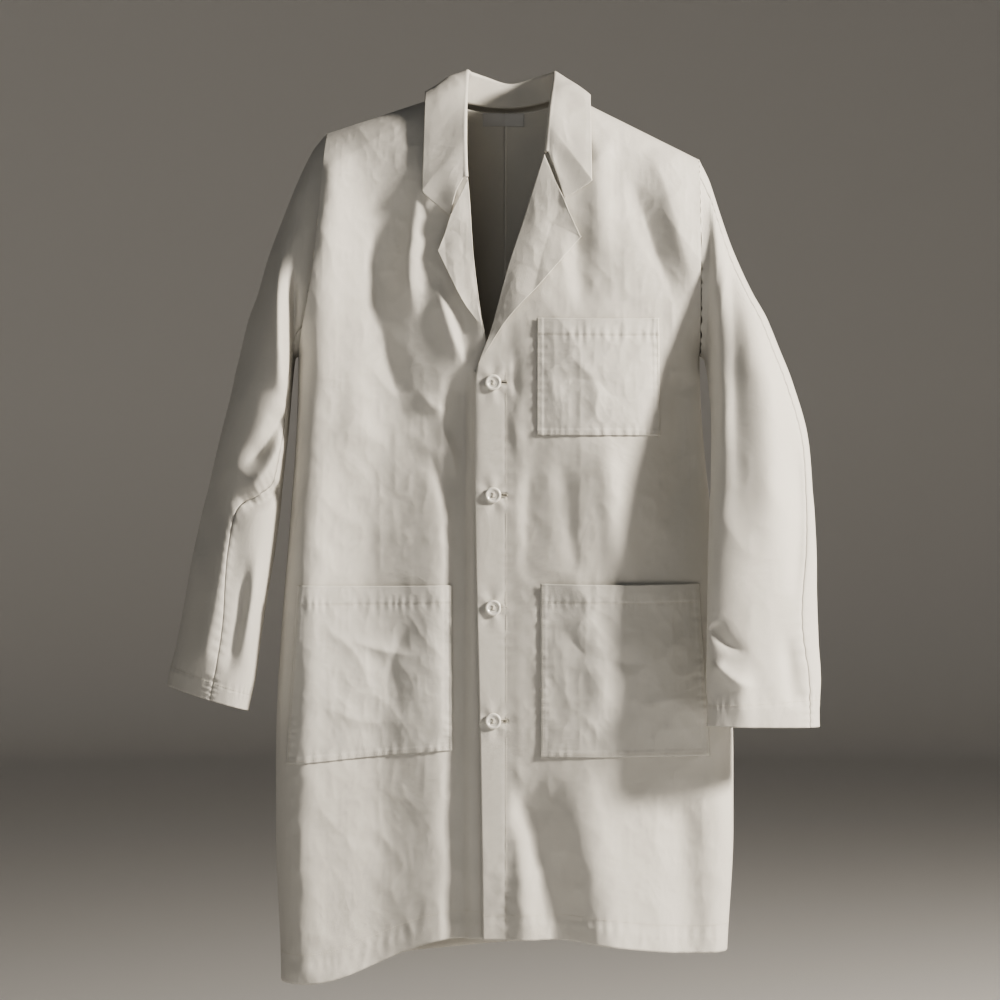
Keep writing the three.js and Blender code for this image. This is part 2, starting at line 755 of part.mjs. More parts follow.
/** A button's thread: shank behind, four strands through the holes, two bars in front. */
function threadGeometry(shankLength) {
  const front = -BUTTON_THICKNESS * 0.55 - 0.3;
  const behind = BUTTON_STAND_OFF - 0.35;
  const shankTop = 0.3;
  const reach = BUTTON_HOLE_OFFSET + THREAD_RADIUS;
  let body = solid(barY(SHANK_RADIUS, 0, shankTop, shankLength, 0, 10));
  const plate = new THREE.BoxGeometry(2 * reach, behind * 0.6, 2 * reach);
  body = body.add(solid(plate.translate(0, shankTop + behind * 0.3, 0)));
  for (const [dx, dz] of holeCentres()) {
    body = body.add(solid(barY(THREAD_RADIUS, dx, shankTop + 0.1, front - 0.6, dz, 6)));
  }
  for (const dz of [-BUTTON_HOLE_OFFSET, BUTTON_HOLE_OFFSET]) {
    const bar = new THREE.BoxGeometry(2 * reach, 1, 2 * THREAD_RADIUS);
    body = body.add(solid(bar.translate(0, front - 0.5, dz)));
  }
  return geometryOf(body);
}

/** Cuts the buttonholes through a panel. */
function withButtonholes(geometry) {
  let body = solid(geometry);
  for (let i = 0; i < BUTTON_COUNT; i += 1) {
    const z = FIRST_BUTTON_Z - i * BUTTON_PITCH;
    const slot = new THREE.BoxGeometry(BUTTONHOLE_LENGTH, 30, BUTTONHOLE_HEIGHT);
    const x = CENTRE_X - SHANK_TO_HOLE_END + BUTTONHOLE_LENGTH / 2;
    body = body.subtract(solid(slot.translate(x, frontY(x, z), z)));
  }
  return geometryOf(body);
}

// ---- The over-lapping skirt corner below the last button ----------------

/** Fold line of the left skirt corner in (x, z): from the buttoned edge to the hem. */
function cornerFold() {
  const lastButton = FIRST_BUTTON_Z - (BUTTON_COUNT - 1) * BUTTON_PITCH;
  return [
    [CENTRE_X - OVERLAP_HALF - CORNER_OVERRUN, lastButton - CORNER_BELOW_BUTTON],
    [CORNER_REACH, hemZ(CORNER_REACH) - CORNER_OVERRUN],
  ];
}

/** Splits a left front panel or facing at the fold line; returns [above, below]. */
function splitAtFold(geometry) {
  const [[x0, z0], [x1, z1]] = cornerFold();
  const beyond = 60;
  const rise = (beyond * (z0 - z1)) / (x1 - x0);
  const wedge = (gap) => {
    const outline = new THREE.Shape([
      new THREE.Vector2(x0 - beyond, z0 - gap + rise),
      new THREE.Vector2(x1 + beyond, z1 - gap - rise),
      new THREE.Vector2(x1 + beyond, z1 - 4 * beyond),
      new THREE.Vector2(x0 - beyond, z1 - 4 * beyond),
    ]);
    const depth = 2 * FRONT_DEPTH.hem + 2 * beyond;
    const prism = new THREE.ExtrudeGeometry(outline, { depth, bevelEnabled: false });
    return solid(closedGeometryFrom(prism.rotateX(Math.PI / 2).translate(0, depth / 2, 0)));
  };
  const body = solid(geometry);
  return [geometryOf(body.subtract(wedge(0))), geometryOf(body.intersect(wedge(SEAM_GAP)))];
}

// ---- Assembly -----------------------------------------------------------

const cotton = new THREE.MeshStandardMaterial({ color: 0xe9e6dd, roughness: 0.85, metalness: 0 });
const resin = new THREE.MeshStandardMaterial({ color: 0xe6e2d6, roughness: 0.3, metalness: 0 });
const thread = new THREE.MeshStandardMaterial({ color: 0xf0ece2, roughness: 0.8, metalness: 0 });
const satin = new THREE.MeshStandardMaterial({ color: 0xdcdbd8, roughness: 0.6, metalness: 0 });

const coat = new THREE.Group();

function add(name, geometry, material = cotton) {
  const mesh = new THREE.Mesh(geometry, material);
  mesh.name = name;
  coat.add(mesh);
  return mesh;
}

function addFronts() {
  const whole = withButtonholes(frontPanel(leftInnerEdge(), LEFT, frontY));
  const [left, corner] = splitAtFold(whole);
  add("right_front", frontPanel(rightInnerEdge(), RIGHT, rightFrontY));
  add("left_front", left);
  add("left_skirt_corner", corner);
}

function addFacings() {
  const leftEdge = leftInnerEdge();
  const rightEdge = rightInnerEdge();
  const along = (edge) => (t) => edge(mix(0.37, 1, t))[0];
  const whole = withButtonholes(facing(along(leftEdge), 1, frontY));
  const [left, corner] = splitAtFold(whole);
  add("left_front_facing", left);
  add("left_corner_facing", corner);
  add("right_front_facing", facing(along(rightEdge), -1, rightFrontY));
}

function addSleeves() {
  for (const sleeve of [RIGHT_SLEEVE, LEFT_SLEEVE]) {
    const { topFrom, topTo } = sleeve;
    add(`${sleeve.side.name}_top_sleeve`, sleevePiece(sleeve, topFrom, topTo));
    add(`${sleeve.side.name}_under_sleeve`, sleevePiece(sleeve, topTo, topFrom + 360));
  }
}

function addButtons() {
  for (let i = 0; i < BUTTON_COUNT; i += 1) {
    const z = FIRST_BUTTON_Z - i * BUTTON_PITCH;
    const back = frontY(CENTRE_X, z) - BUTTON_STAND_OFF;
    const shank = rightFrontY(CENTRE_X, z) - back - 0.3;
    add(`button_${i + 1}`, buttonGeometry(), resin).position.set(CENTRE_X, back, z);
    add(`button_thread_${i + 1}`, threadGeometry(shank), thread).position.set(CENTRE_X, back, z);
  }
}

addFronts();
addFacings();
add("left_back", backPanel(LEFT));
add("right_back", backPanel(RIGHT));
add("left_lapel", leftLapel());
add("right_lapel", rightLapel());
add("upper_collar", collarPly(0));
add("under_collar", collarPly(LAYER));
add("neck_label", neckLabel(), satin);
for (const size of [CHEST_POCKET, LEFT_POCKET, RIGHT_POCKET]) add(size.name, pocket(size));
addSleeves();
addButtons();

export default coat;
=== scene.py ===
"""A white lab coat, buttoned, hanging from its shoulders: its cloth, stitching and buttons.

Shapes are worked out in millimetres along the frame's axes and written to meshes in metres.
"""
import json
import logging
import math
from dataclasses import dataclass
from enum import Enum
from typing import Callable, Optional, Sequence

import bmesh
import bpy
import numpy as np
from mathutils import Matrix, Vector


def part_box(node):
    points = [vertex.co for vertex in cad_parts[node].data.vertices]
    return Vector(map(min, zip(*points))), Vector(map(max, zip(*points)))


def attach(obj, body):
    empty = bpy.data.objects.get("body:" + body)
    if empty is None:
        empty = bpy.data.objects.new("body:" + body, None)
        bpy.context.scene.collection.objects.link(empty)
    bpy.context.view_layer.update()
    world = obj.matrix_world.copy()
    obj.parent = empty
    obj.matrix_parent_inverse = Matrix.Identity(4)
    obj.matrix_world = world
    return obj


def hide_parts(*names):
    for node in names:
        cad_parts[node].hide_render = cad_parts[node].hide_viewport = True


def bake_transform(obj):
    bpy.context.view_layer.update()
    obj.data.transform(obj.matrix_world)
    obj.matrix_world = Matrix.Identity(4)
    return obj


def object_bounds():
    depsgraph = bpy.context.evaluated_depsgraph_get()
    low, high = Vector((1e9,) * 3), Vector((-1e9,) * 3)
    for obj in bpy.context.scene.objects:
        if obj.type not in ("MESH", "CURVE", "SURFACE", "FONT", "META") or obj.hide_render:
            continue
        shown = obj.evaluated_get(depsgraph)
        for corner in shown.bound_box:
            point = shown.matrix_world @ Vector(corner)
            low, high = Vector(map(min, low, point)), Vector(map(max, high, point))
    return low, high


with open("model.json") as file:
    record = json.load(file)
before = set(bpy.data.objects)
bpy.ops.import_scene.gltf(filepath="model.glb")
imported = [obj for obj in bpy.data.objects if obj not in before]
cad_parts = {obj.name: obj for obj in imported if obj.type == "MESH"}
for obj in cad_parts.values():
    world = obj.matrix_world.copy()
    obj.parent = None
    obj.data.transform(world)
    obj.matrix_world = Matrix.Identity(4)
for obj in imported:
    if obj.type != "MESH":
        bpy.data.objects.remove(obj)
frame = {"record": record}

LOG = logging.getLogger("lab_coat")
CAD_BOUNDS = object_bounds()
MM = 0.001
Array = np.ndarray
Path = Sequence[tuple[float, float]]


def smooth(a: float, b: float, x: Array) -> Array:
    """Rise smoothly from 0 at a to 1 at b."""
    k = np.clip((np.asarray(x, float) - a) / (b - a), 0.0, 1.0)
    return k * k * (3 - 2 * k)


def mix(a: Array, b: Array, k: Array) -> Array:
    """Blend from a to b."""
    return a + (b - a) * k


class Track:
    """A smooth line through knots (t, value, ...)."""

    def __init__(self, *knots: tuple[float, ...]) -> None:
        """Keep the knots and their slopes.

        Args:
            knots: rows of t and one or more values, t rising.
        """
        rows = np.array(knots, float)
        self.t = rows[:, 0]
        self.v = rows[:, 1:]
        ahead = np.r_[1:len(rows), len(rows) - 1]
        behind = np.r_[0, 0:len(rows) - 1]
        self.slope = (self.v[ahead] - self.v[behind]) / (self.t[ahead] - self.t[behind])[:, None]

    def __call__(self, t: Array) -> Array:
        """Values at t.

        Args:
            t: an array of any shape.

        Returns:
            An array with one more axis, the values.
        """
        t = np.asarray(t, float)
        i = np.clip(np.searchsorted(self.t, t, side="right") - 1, 0, len(self.t) - 2)
        span = self.t[i + 1] - self.t[i]
        k = np.clip((t - self.t[i]) / span, 0, 1)[..., None]
        k2, k3 = k * k, k * k * k
        ends = (2 * k3 - 3 * k2 + 1) * self.v[i] + (3 * k2 - 2 * k3) * self.v[i + 1]
        lean = (k3 - 2 * k2 + k) * self.slope[i] + (k3 - k2) * self.slope[i + 1]
        return ends + lean * span[..., None]


def field_noise(x: Array, z: Array, cell: float, seed: int) -> Array:
    """A smooth random field between -1 and 1.

    Args:
        x: one coordinate in millimetres.
        z: the other coordinate.
        cell: the size of its lumps.
        seed: which field.

    Returns:
        The field's value at each point.
    """
    size = 64
    table = np.random.default_rng(seed).uniform(-1, 1, (size, size))
    gx, gz = np.asarray(x) / cell + 31.7, np.asarray(z) / cell + 17.3
    ix, iz = np.floor(gx).astype(int), np.floor(gz).astype(int)
    fx, fz = gx - ix, gz - iz
    fx, fz = fx * fx * fx * (fx * (6 * fx - 15) + 10), fz * fz * fz * (fz * (6 * fz - 15) + 10)
    a, b = table[ix % size, iz % size], table[(ix + 1) % size, iz % size]
    c, d = table[ix % size, (iz + 1) % size], table[(ix + 1) % size, (iz + 1) % size]
    return mix(mix(a, b, fx), mix(c, d, fx), fz)


def crumple(x: Array, z: Array, cell: float, seed: int) -> Array:
    """Pressed-in creases: soft lumps with thin ridges between them.

    Args:
        x: one coordinate in millimetres.
        z: the other coordinate.
        cell: distance between creases.
        seed: which creases.

    Returns:
        Heights between about -1 and 1.
    """
    turned_x, turned_z = 0.82 * x + 0.57 * z, -0.57 * x + 0.82 * z
    first = 1 - 2 * np.abs(field_noise(turned_x, turned_z, cell, seed))
    second = 1 - 2 * np.abs(field_noise(x * 1.3, z * 0.8, cell * 0.55, seed + 1))
    return 0.6 * first + 0.3 * second


# ---- Folds --------------------------------------------------------------


@dataclass(frozen=True)
class Fold:
    """A fold of hanging cloth: a ridge, or a trough when its height is negative."""

    path: Path
    height: float
    left: float
    right: float
    sharp: float = 2.0
    fade: tuple[float, float] = (0.3, 0.3)

    def lift(self, x: Array, z: Array) -> Array:
        """How far the fold lifts the cloth.

        Args:
            x: points' x in millimetres.
            z: points' z in millimetres.

        Returns:
            The lift at each point.
        """
        knots = [(i, *p) for i, p in enumerate(self.path)]
        line = Track(*knots)(np.linspace(0, len(knots) - 1, 8 * len(knots)))
        start, end = line[:-1], line[1:]
        best = np.full(x.shape, 1e9)
        along = np.zeros(x.shape)
        side = np.ones(x.shape)
        for i, (a, b) in enumerate(zip(start, end)):
            d = b - a
            k = np.clip(((x - a[0]) * d[0] + (z - a[1]) * d[1]) / (d @ d), 0, 1)
            dx, dz = x - a[0] - k * d[0], z - a[1] - k * d[1]
            gap = np.hypot(dx, dz)
            near = gap < best
            best = np.where(near, gap, best)
            along = np.where(near, (i + k) / len(start), along)
            side = np.where(near, np.sign(dz * d[0] - dx * d[1]), side)
        width = np.where(side < 0, self.left, self.right)
        form = np.exp(-((best / width) ** self.sharp))
        if self.fade[0]:
            form = form * smooth(0, self.fade[0], along)
        if self.fade[1]:
            form = form * smooth(0, self.fade[1], 1 - along)
        return self.height * form


def lift_of(folds: Sequence[Fold], x: Array, z: Array) -> Array:
    """The lift of several folds together."""
    total = np.zeros(x.shape)
    for fold in folds:
        total += fold.lift(x, z)
    return total


RIGHT_FRONT_FOLDS = (
    Fold(((-200, -36), (-208, -120), (-210, -195), (-218, -300), (-230, -437), (-236, -640), (-238, -820),
          (-236, -1000)), 11, 30, 27,
         fade=(0.08, 0)),
    Fold(((-100, -60), (-144, -161), (-156, -230), (-138, -330), (-126, -388), (-144, -437), (-150, -527),
          (-140, -700), (-140, -985)),
         -15, 46, 80, fade=(0.1, 0)),
    Fold(((-150, -120), (-146, -240), (-112, -385)), -5, 14, 16, 1.6, (0.3, 0.3)),
    Fold(((-92, -60), (-104, -130), (-110, -200), (-101, -268)), 8, 14, 13, 1.7, (0.45, 0.3)),
    Fold(((-84, -200), (-64, -262), (-42, -322)), 6, 14, 9, 1.6, (0.35, 0.35)),
    Fold(((-214, -62), (-219, -130), (-226, -215)), -4, 6, 8, 1.5, (0.2, 0.4)),
    Fold(((-76, -372), (-62, -404), (-55, -440)), 3.5, 9, 6, 1.3, (0.4, 0.4)),
    Fold(((-92, -398), (-76, -436), (-66, -482)), -3, 8, 8, 1.3, (0.4, 0.4)),
    Fold(((-104, -330), (-84, -352), (-66, -356)), 3, 8, 8, 1.4, (0.4, 0.4)),
    Fold(((-175, -150), (-172, -300), (-178, -480)), 3, 18, 20, fade=(0.4, 0.4)),
    Fold(((-46, -300), (-52, -420), (-52, -640), (-54, -820), (-52, -960)), -7, 20, 12, 2.4, (0.1, 0)),
)
LEFT_FRONT_FOLDS = (
    Fold(((98, -150), (100, -300), (98, -450), (94, -600), (96, -760), (104, -985)), 9, 60, 62, 2.0, (0.2, 0)),
    Fold(((166, -50), (184, -96), (204, -168), (218, -226)), 5, 14, 24, 1.7, (0.25, 0.35)),
    Fold(((140, -76), (158, -130), (182, -196), (204, -250)), -5, 18, 14, 1.6, (0.35, 0.4)),
    Fold(((110, -30), (108, -109), (112, -205)), 5, 18, 16, fade=(0.2, 0.4)),
    Fold(((88, -130), (84, -190), (92, -245)), -4, 12, 16, fade=(0.4, 0.3)),
    Fold(((196, -270), (204, -340), (200, -430), (190, -560)), -9, 24, 26, fade=(0.3, 0.4)),
    Fold(((10, -276), (9, -318), (16, -352)), -3, 7, 9, 1.5, (0.4, 0.4)),
    Fold(((0, -352), (10, -380), (14, -420)), 2.5, 6, 9, 1.4, (0.3, 0.5)),
    Fold(((34, -380), (27, -470), (24, -560)), -2.5, 10, 14, 1.7, (0.4, 0.4)),
    Fold(((62, -384), (70, -470), (84, -560)), -3, 12, 14, 1.7, (0.35, 0.3)),
    Fold(((112, -384), (122, -470), (134, -560)), 5, 16, 18, fade=(0.3, 0.3)),
    Fold(((16, -770), (30, -830), (52, -900), (66, -985)), -9, 22, 34, fade=(0.3, 0)),
    Fold(((78, -770), (98, -860), (118, -985)), 7, 26, 34, fade=(0.4, 0)),
    Fold(((196, -770), (206, -860), (212, -985)), -8, 26, 22, fade=(0.4, 0)),
    Fold(((16, -800), (20, -880), (22, -965)), 4, 14, 14, fade=(0.4, 0)),
)
BACK_FOLDS = (
    Fold(((-60, -60), (-74, -300), (-92, -620), (-104, -985)), 9, 34, 30, fade=(0.4, 0)),
    Fold(((-128, -120), (-140, -360), (-158, -700), (-166, -1000)), -9, 30, 34, fade=(0.3, 0)),
    Fold(((58, -60), (66, -320), (88, -640), (96, -985)), 8, 32, 34, fade=(0.4, 0)),
    Fold(((120, -120), (136, -380), (150, -700), (162, -985)), -9, 30, 30, fade=(0.3, 0)),
    Fold(((0, -70), (-6, -400), (4, -985)), -5, 24, 24, fade=(0.3, 0)),
    Fold(((-150, -70), (-186, -180), (-214, -262)), 7, 14, 14, 1.6, (0.3, 0.4)),
    Fold(((150, -84), (184, -180), (206, -262)), 7, 14, 14, 1.6, (0.3, 0.4)),
)
RIGHT_SLEEVE_FOLDS = (
    Fold(((-262, -150), (-262, -240), (-257, -310), (-252, -350)), 9, 13, 10, 1.8, (0.3, 0.3)),
    Fold(((-243, -190), (-243, -260), (-243, -320)), -8, 8, 9, 1.7, (0.3, 0.3)),
    Fold(((-290, -190), (-300, -270), (-318, -350)), -6, 12, 14, fade=(0.4, 0.4)),
    Fold(((-250, -352), (-276, -396), (-304, -428)), -10, 9, 9, 1.5, (0.2, 0.4)),
    Fold(((-250, -385), (-274, -425), (-300, -452)), 6, 9, 9, 1.6, (0.2, 0.4)),
    Fold(((-254, -440), (-282, -462), (-318, -462)), -9, 10, 9, 1.5, (0.2, 0.4)),
    Fold(((-334, -400), (-346, -480), (-352, -560)), -6, 10, 14, 1.8, (0.4, 0.4)),
    Fold(((-318, -470), (-332, -570), (-352, -670)), 7, 14, 12, fade=(0.3, 0.2)),
    Fold(((-282, -500), (-292, -580), (-306, -660)), 5, 9, 9, 1.7, (0.4, 0.4)),
    Fold(((-296, -520), (-306, -600), (-322, -670)), -5, 8, 8, 1.7, (0.4, 0.3)),
)
LEFT_SLEEVE_FOLDS = (
    Fold(((238, -84), (240, -161), (236, -230), (238, -299), (246, -368), (246, -527)), 6, 10, 10, 1.8, (0.15, 0.4)),
    Fold(((258, -130), (262, -240), (262, -340), (262, -527)), -4, 10, 13, 1.8, (0.3, 0.4)),
    Fold(((286, -220), (296, -330), (300, -460), (296, -560)), 6, 22, 20, fade=(0.3, 0.4)),
    Fold(((232, -600), (250, -622), (278, -634)), -5, 7, 8, 1.5, (0.1, 0.5)),
    Fold(((232, -640), (256, -662), (284, -672)), 5, 8, 8, 1.6, (0.2, 0.5)),
    Fold(((330, -380), (334, -480), (326, -590)), -5, 12, 10, 1.8, (0.3, 0.3)),
    Fold(((316, -600), (322, -650), (330, -700)), -4, 10, 10, fade=(0.4, 0.2)),
    Fold(((262, -640), (266, -680), (268, -715)), 4, 14, 14, fade=(0.4, 0)),
)


# ---- The coat's measures ------------------------------------------------


@dataclass(frozen=True)
class Side:
    """One side of the body: its shoulder, armhole and side seam, x outwards."""

    sign: int
    collar_shoulder: tuple[float, float]
    tip: tuple[float, float]
    armpit: tuple[float, float]
    hip: float
    hem_half: float
    hem_z: float


def joint_place(name: str) -> Vector:
    """Where a joint of the frame lies, in millimetres."""
    found = next(j for j in frame["record"]["behaviour"]["joints"] if j["name"] == name)
    return Vector(found["pos_m"]) / MM


def low(node: str) -> Vector:
    """A node's lowest corner in millimetres."""
    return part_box(node)[0] / MM


def high(node: str) -> Vector:
    """A node's highest corner in millimetres."""
    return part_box(node)[1] / MM


def make_sides() -> tuple[Side, Side]:
    """The wearer's right and left sides, from the frame's joints and boxes."""
    right_tip, left_tip = joint_place("right_sleeve_swing"), joint_place("left_sleeve_swing")
    right = Side(
        -1, (92, 6), (-right_tip.x, right_tip.z), (34 - right_tip.x, right_tip.z - 260),
        -low("right_back").x, -low("right_back").x - 6, low("right_back").z,
    )
    left = Side(
        1, (98, 1), (left_tip.x, left_tip.z), (left_tip.x + 2, left_tip.z - 230),
        high("left_back").x, high("left_back").x - 8, low("left_front").z,
    )
    return right, left


RIGHT, LEFT = make_sides()
CENTRE_X = (low("button_1").x + high("button_1").x) / 2
V_POINT_Z = joint_place("left_lapel_lift").z - 2
BACK_HEM_Z = low("left_back").z
HEM_MIDDLE_Z = BACK_HEM_Z + 22
OVERLAP_HALF = 18.0
NECK_HALF = 72.0
CHEST_DEPTH = {"front": 62.0, "back": 55.0}
HEM_DEPTH = {"front": 80.0, "back": 70.0}
UNDERLAP = 3.6
ROLL_TOP = {"right": (-43.0, -89.0), "left": (45.0, -60.0)}
ARMPIT_SHARE = 0.3
HIP_Z = -760.0
PLY = 0.6
HEM_TURN = 24.0
CUFF_TURN = 33.0
FOLD_DEPTH = 1.35
OUTLINE = 3.4
SEWING_HOLE = 1.9
HOLE_RADIUS = 0.95
STITCH_SIDES = 6
STITCH_RINGS = 4
HEM_STITCH_REACH = 700


class Face(Enum):
    """Which face of the body a point lies on."""

    FRONT = -1
    BACK = 1


class Body:
    """The surface of the hanging coat's body, before and with its folds."""

    @staticmethod
    def shoulder_z(x: Array) -> Array:
        """Height of the shoulder line at x, carried on across the neck."""
        lines = []
        for side in (RIGHT, LEFT):
            (cx, cz), (tx, tz) = side.collar_shoulder, side.tip
            lines.append(cz + (np.abs(x) - cx) * (tz - cz) / (tx - cx))
        return mix(lines[0], lines[1], smooth(-60, 60, x))

    @staticmethod
    def side_x(side: Side, z: Array) -> Array:
        """Half width of the body on one side at height z."""
        armpit_x, armpit_z = side.armpit
        above = armpit_x + 62 * smooth(0, 110, z - armpit_z)
        waist = mix(armpit_x, side.hip, smooth(-armpit_z, -HIP_Z, -z))
        below = mix(waist, side.hem_half, smooth(80 - HIP_Z, 30 - BACK_HEM_Z, -z))
        return np.where(z > armpit_z, above, below)

    @classmethod
    def roundness(cls, x: Array, z: Array) -> Array:
        """Share of the full depth at (x, z): 0 at the side seams and the shoulder line."""
        fall = np.clip((cls.shoulder_z(x) - z) / 150, 0, 1)
        ridge = (1 - (1 - fall) ** 2.5) ** 0.4
        half = np.where(x < 0, cls.side_x(RIGHT, z), cls.side_x(LEFT, z))
        s = np.clip(np.abs(x) / half, 0, 1)
        return ridge * (1 - s**OUTLINE) ** (1 / OUTLINE)

    @classmethod
    def plain_y(cls, face: Face, x: Array, z: Array) -> Array:
        """The body's y without folds."""
        key = face.name.lower()
        full = mix(CHEST_DEPTH[key], HEM_DEPTH[key], smooth(300, -BACK_HEM_Z, -z))
        return face.value * (full * cls.roundness(x, z) + 0.2)

    @classmethod
    def front_lift(cls, x: Array, z: Array) -> Array:
        """How far folds and creases lift the front cloth."""
        lift = FOLD_DEPTH * lift_of(RIGHT_FRONT_FOLDS, x, z) * smooth(8, -16, x - CENTRE_X + OVERLAP_HALF)
        lift += FOLD_DEPTH * lift_of(LEFT_FRONT_FOLDS, x, z) * smooth(-6, 14, x - CENTRE_X - 14)
        lift += 1.8 * crumple(x, z, 120, 11) + 3.0 * field_noise(x, z * 0.45, 95, 5)
        lift += 1.2 * crumple(x, z, 42, 23) + 0.35 * crumple(x, z, 17, 29)
        placket = smooth(12, 34, np.abs(x - CENTRE_X)) + 0 * z
        buttoned = smooth(V_POINT_Z + 60, V_POINT_Z, z) * smooth(HEM_MIDDLE_Z, HEM_MIDDLE_Z + 160, z)
        lift *= mix(1.0, 0.15 + 0.85 * placket, buttoned)
        edge = cls.roundness(x, z)
        return lift * smooth(0.0, 0.55, edge)

    @classmethod
    def back_lift(cls, x: Array, z: Array) -> Array:
        """How far folds lift the back cloth."""
        lift = FOLD_DEPTH * lift_of(BACK_FOLDS, x, z) + 1.6 * crumple(x, z, 110, 41)
        lift += 2.0 * field_noise(x, z * 0.4, 100, 17)
        return lift * smooth(0.0, 0.55, cls.roundness(x, z)) * smooth(4, 60, -z)

    @classmethod
    def front_y(cls, x: Array, z: Array) -> Array:
        """The front's y with its folds."""
        return cls.plain_y(Face.FRONT, x, z) - cls.front_lift(x, z)

    @classmethod
    def under_y(cls, x: Array, z: Array) -> Array:
        """The right front's y: it passes behind the left front at the buttons."""
        edge = CENTRE_X - OVERLAP_HALF
        return cls.front_y(x, z) + UNDERLAP * smooth(edge - 46, edge - 12, x)

    @classmethod
    def back_y(cls, x: Array, z: Array) -> Array:
        """The back's y with its folds."""
        return cls.plain_y(Face.BACK, x, z) + cls.back_lift(x, z)

    @staticmethod
    def hem_z(x: Array) -> Array:
        """Height of the front hem at x."""
        outer = np.where(np.asarray(x) < 0, RIGHT.hem_z, BACK_HEM_Z + 3)
        return mix(HEM_MIDDLE_Z, outer, smooth(50, 230, np.abs(x)))


# ---- Cloth meshes -------------------------------------------------------


def grid_normals(grid: Array, sign: int) -> Array:
    """Unit normals of a grid of points, turned by sign."""
    normal = np.cross(np.gradient(grid, axis=1), np.gradient(grid, axis=0)) * sign
    return normal / np.maximum(np.linalg.norm(normal, axis=2, keepdims=True), 1e-9)


def new_object(name: str, points: Array, faces: Array, smooth_faces: bool = True) -> bpy.types.Object:
    """Make a mesh object.

    Args:
        name: its name.
        points: vertices in millimetres, one row each.
        faces: rows of vertex numbers, all of one length.
        smooth_faces: whether its faces are shaded smoothly.

    Returns:
        The new object, linked to the scene.
    """
    mesh = bpy.data.meshes.new(name)
    size = faces.shape[1]
    mesh.vertices.add(len(points))
    mesh.vertices.foreach_set("co", (points * MM).astype(np.float32).ravel())
    mesh.loops.add(faces.size)
    mesh.loops.foreach_set("vertex_index", faces.astype(np.int32).ravel())
    mesh.polygons.add(len(faces))
    mesh.polygons.foreach_set("loop_start", np.arange(0, faces.size, size, dtype=np.int32))
    mesh.polygons.foreach_set("use_smooth", np.full(len(faces), smooth_faces))
    mesh.update(calc_edges=True)
    mesh.validate()
    obj = bpy.data.objects.new(name, mesh)
    bpy.context.scene.collection.objects.link(obj)
    return obj


def ring_faces(rings: int, around: int) -> Array:
    """Quads that join each closed ring of points to the next one."""
    start = np.repeat(np.arange(rings - 1), around) * around
    k = np.tile(np.arange(around), rings - 1)
    after = (k + 1) % around
    return np.stack([start + k, start + after, start + around + after, start + around + k], axis=1)


def cloth(name: str, grid: Array, sign: int, thickness: float = PLY,
          keep: Optional[Array] = None) -> bpy.types.Object:
    """Make a closed cloth from the grid of its outer face.

    Args:
        name: the piece's name.
        grid: rows x columns x 3 points in millimetres.
        sign: which way the grid's normals turn to face out.
        thickness: how thick the cloth is.
        keep: which grid cells are cloth; the others are cut out.

    Returns:
        The mesh object, with a UV map in metres of cloth.
    """
    rows, columns = grid.shape[:2]
    inner = grid - grid_normals(grid, sign) * thickness
    points = np.concatenate([grid.reshape(-1, 3), inner.reshape(-1, 3)])
    number = np.arange(rows * columns).reshape(rows, columns)
    quads = np.stack([number[:-1, :-1], number[1:, :-1], number[1:, 1:], number[:-1, 1:]], axis=2)
    quads = quads[keep] if keep is not None else quads.reshape(-1, 4)
    if sign > 0:
        quads = quads[:, ::-1]
    edges = np.concatenate([quads[:, [i, (i + 1) % 4]] for i in range(4)])
    code = edges[:, 0] * points.shape[0] + edges[:, 1]
    back = edges[:, 1] * points.shape[0] + edges[:, 0]
    rim = edges[~np.isin(code, back)]
    far = rows * columns
    walls = np.stack([rim[:, 1], rim[:, 0], rim[:, 0] + far, rim[:, 1] + far], axis=1)
    faces = np.concatenate([quads, quads[:, ::-1] + far, walls])
    used = np.unique(faces)
    lookup = np.zeros(len(points), dtype=np.int64)
    lookup[used] = np.arange(len(used))
    obj = new_object(name, points[used], lookup[faces])
    step_u = np.linalg.norm(np.diff(grid, axis=1), axis=2)
    step_v = np.linalg.norm(np.diff(grid, axis=0), axis=2)
    across = np.concatenate([np.zeros((rows, 1)), np.cumsum(step_u, axis=1)], axis=1)
    down = np.concatenate([np.zeros((1, columns)), np.cumsum(step_v, axis=0)], axis=0)
    uv = np.stack([across, down], axis=2).reshape(-1, 2) * MM
    uv = np.concatenate([uv, uv])[used]
    layer = obj.data.uv_layers.new(name="ClothMetres")
    loops = np.empty(len(obj.data.loops), dtype=np.int32)
    obj.data.loops.foreach_get("vertex_index", loops)
    layer.data.foreach_set("uv", uv[loops].astype(np.float32).ravel())
    return obj


def patch(inner: Callable, outer: Callable, top: Callable, bottom: Callable, u: Array, t: Array) -> tuple[Array,
                                                                                                          Array]:
    """Fill a four-sided outline in (x, z).

    Args:
        inner: edge as a function of t.
        outer: the opposite edge.
        top: edge as a function of u.
        bottom: the opposite edge.
        u: columns' shares, 0 to 1.
        t: rows' shares, 0 to 1.

    Returns:
        The grids of x and z.
    """
    uu, tt = u[None, :, None], t[:, None, None]
    sides = mix(inner(t)[:, None, :], outer(t)[:, None, :], uu)
    ends = mix(top(u)[None, :, :], bottom(u)[None, :, :], tt)
    corner = [f(np.array([e]))[0] for f in (inner, outer) for e in (0.0, 1.0)]
    upper = mix(corner[0], corner[2], uu)
    lower = mix(corner[1], corner[3], uu)
    flat = sides + ends - mix(upper, lower, tt)
    return flat[..., 0], flat[..., 1]


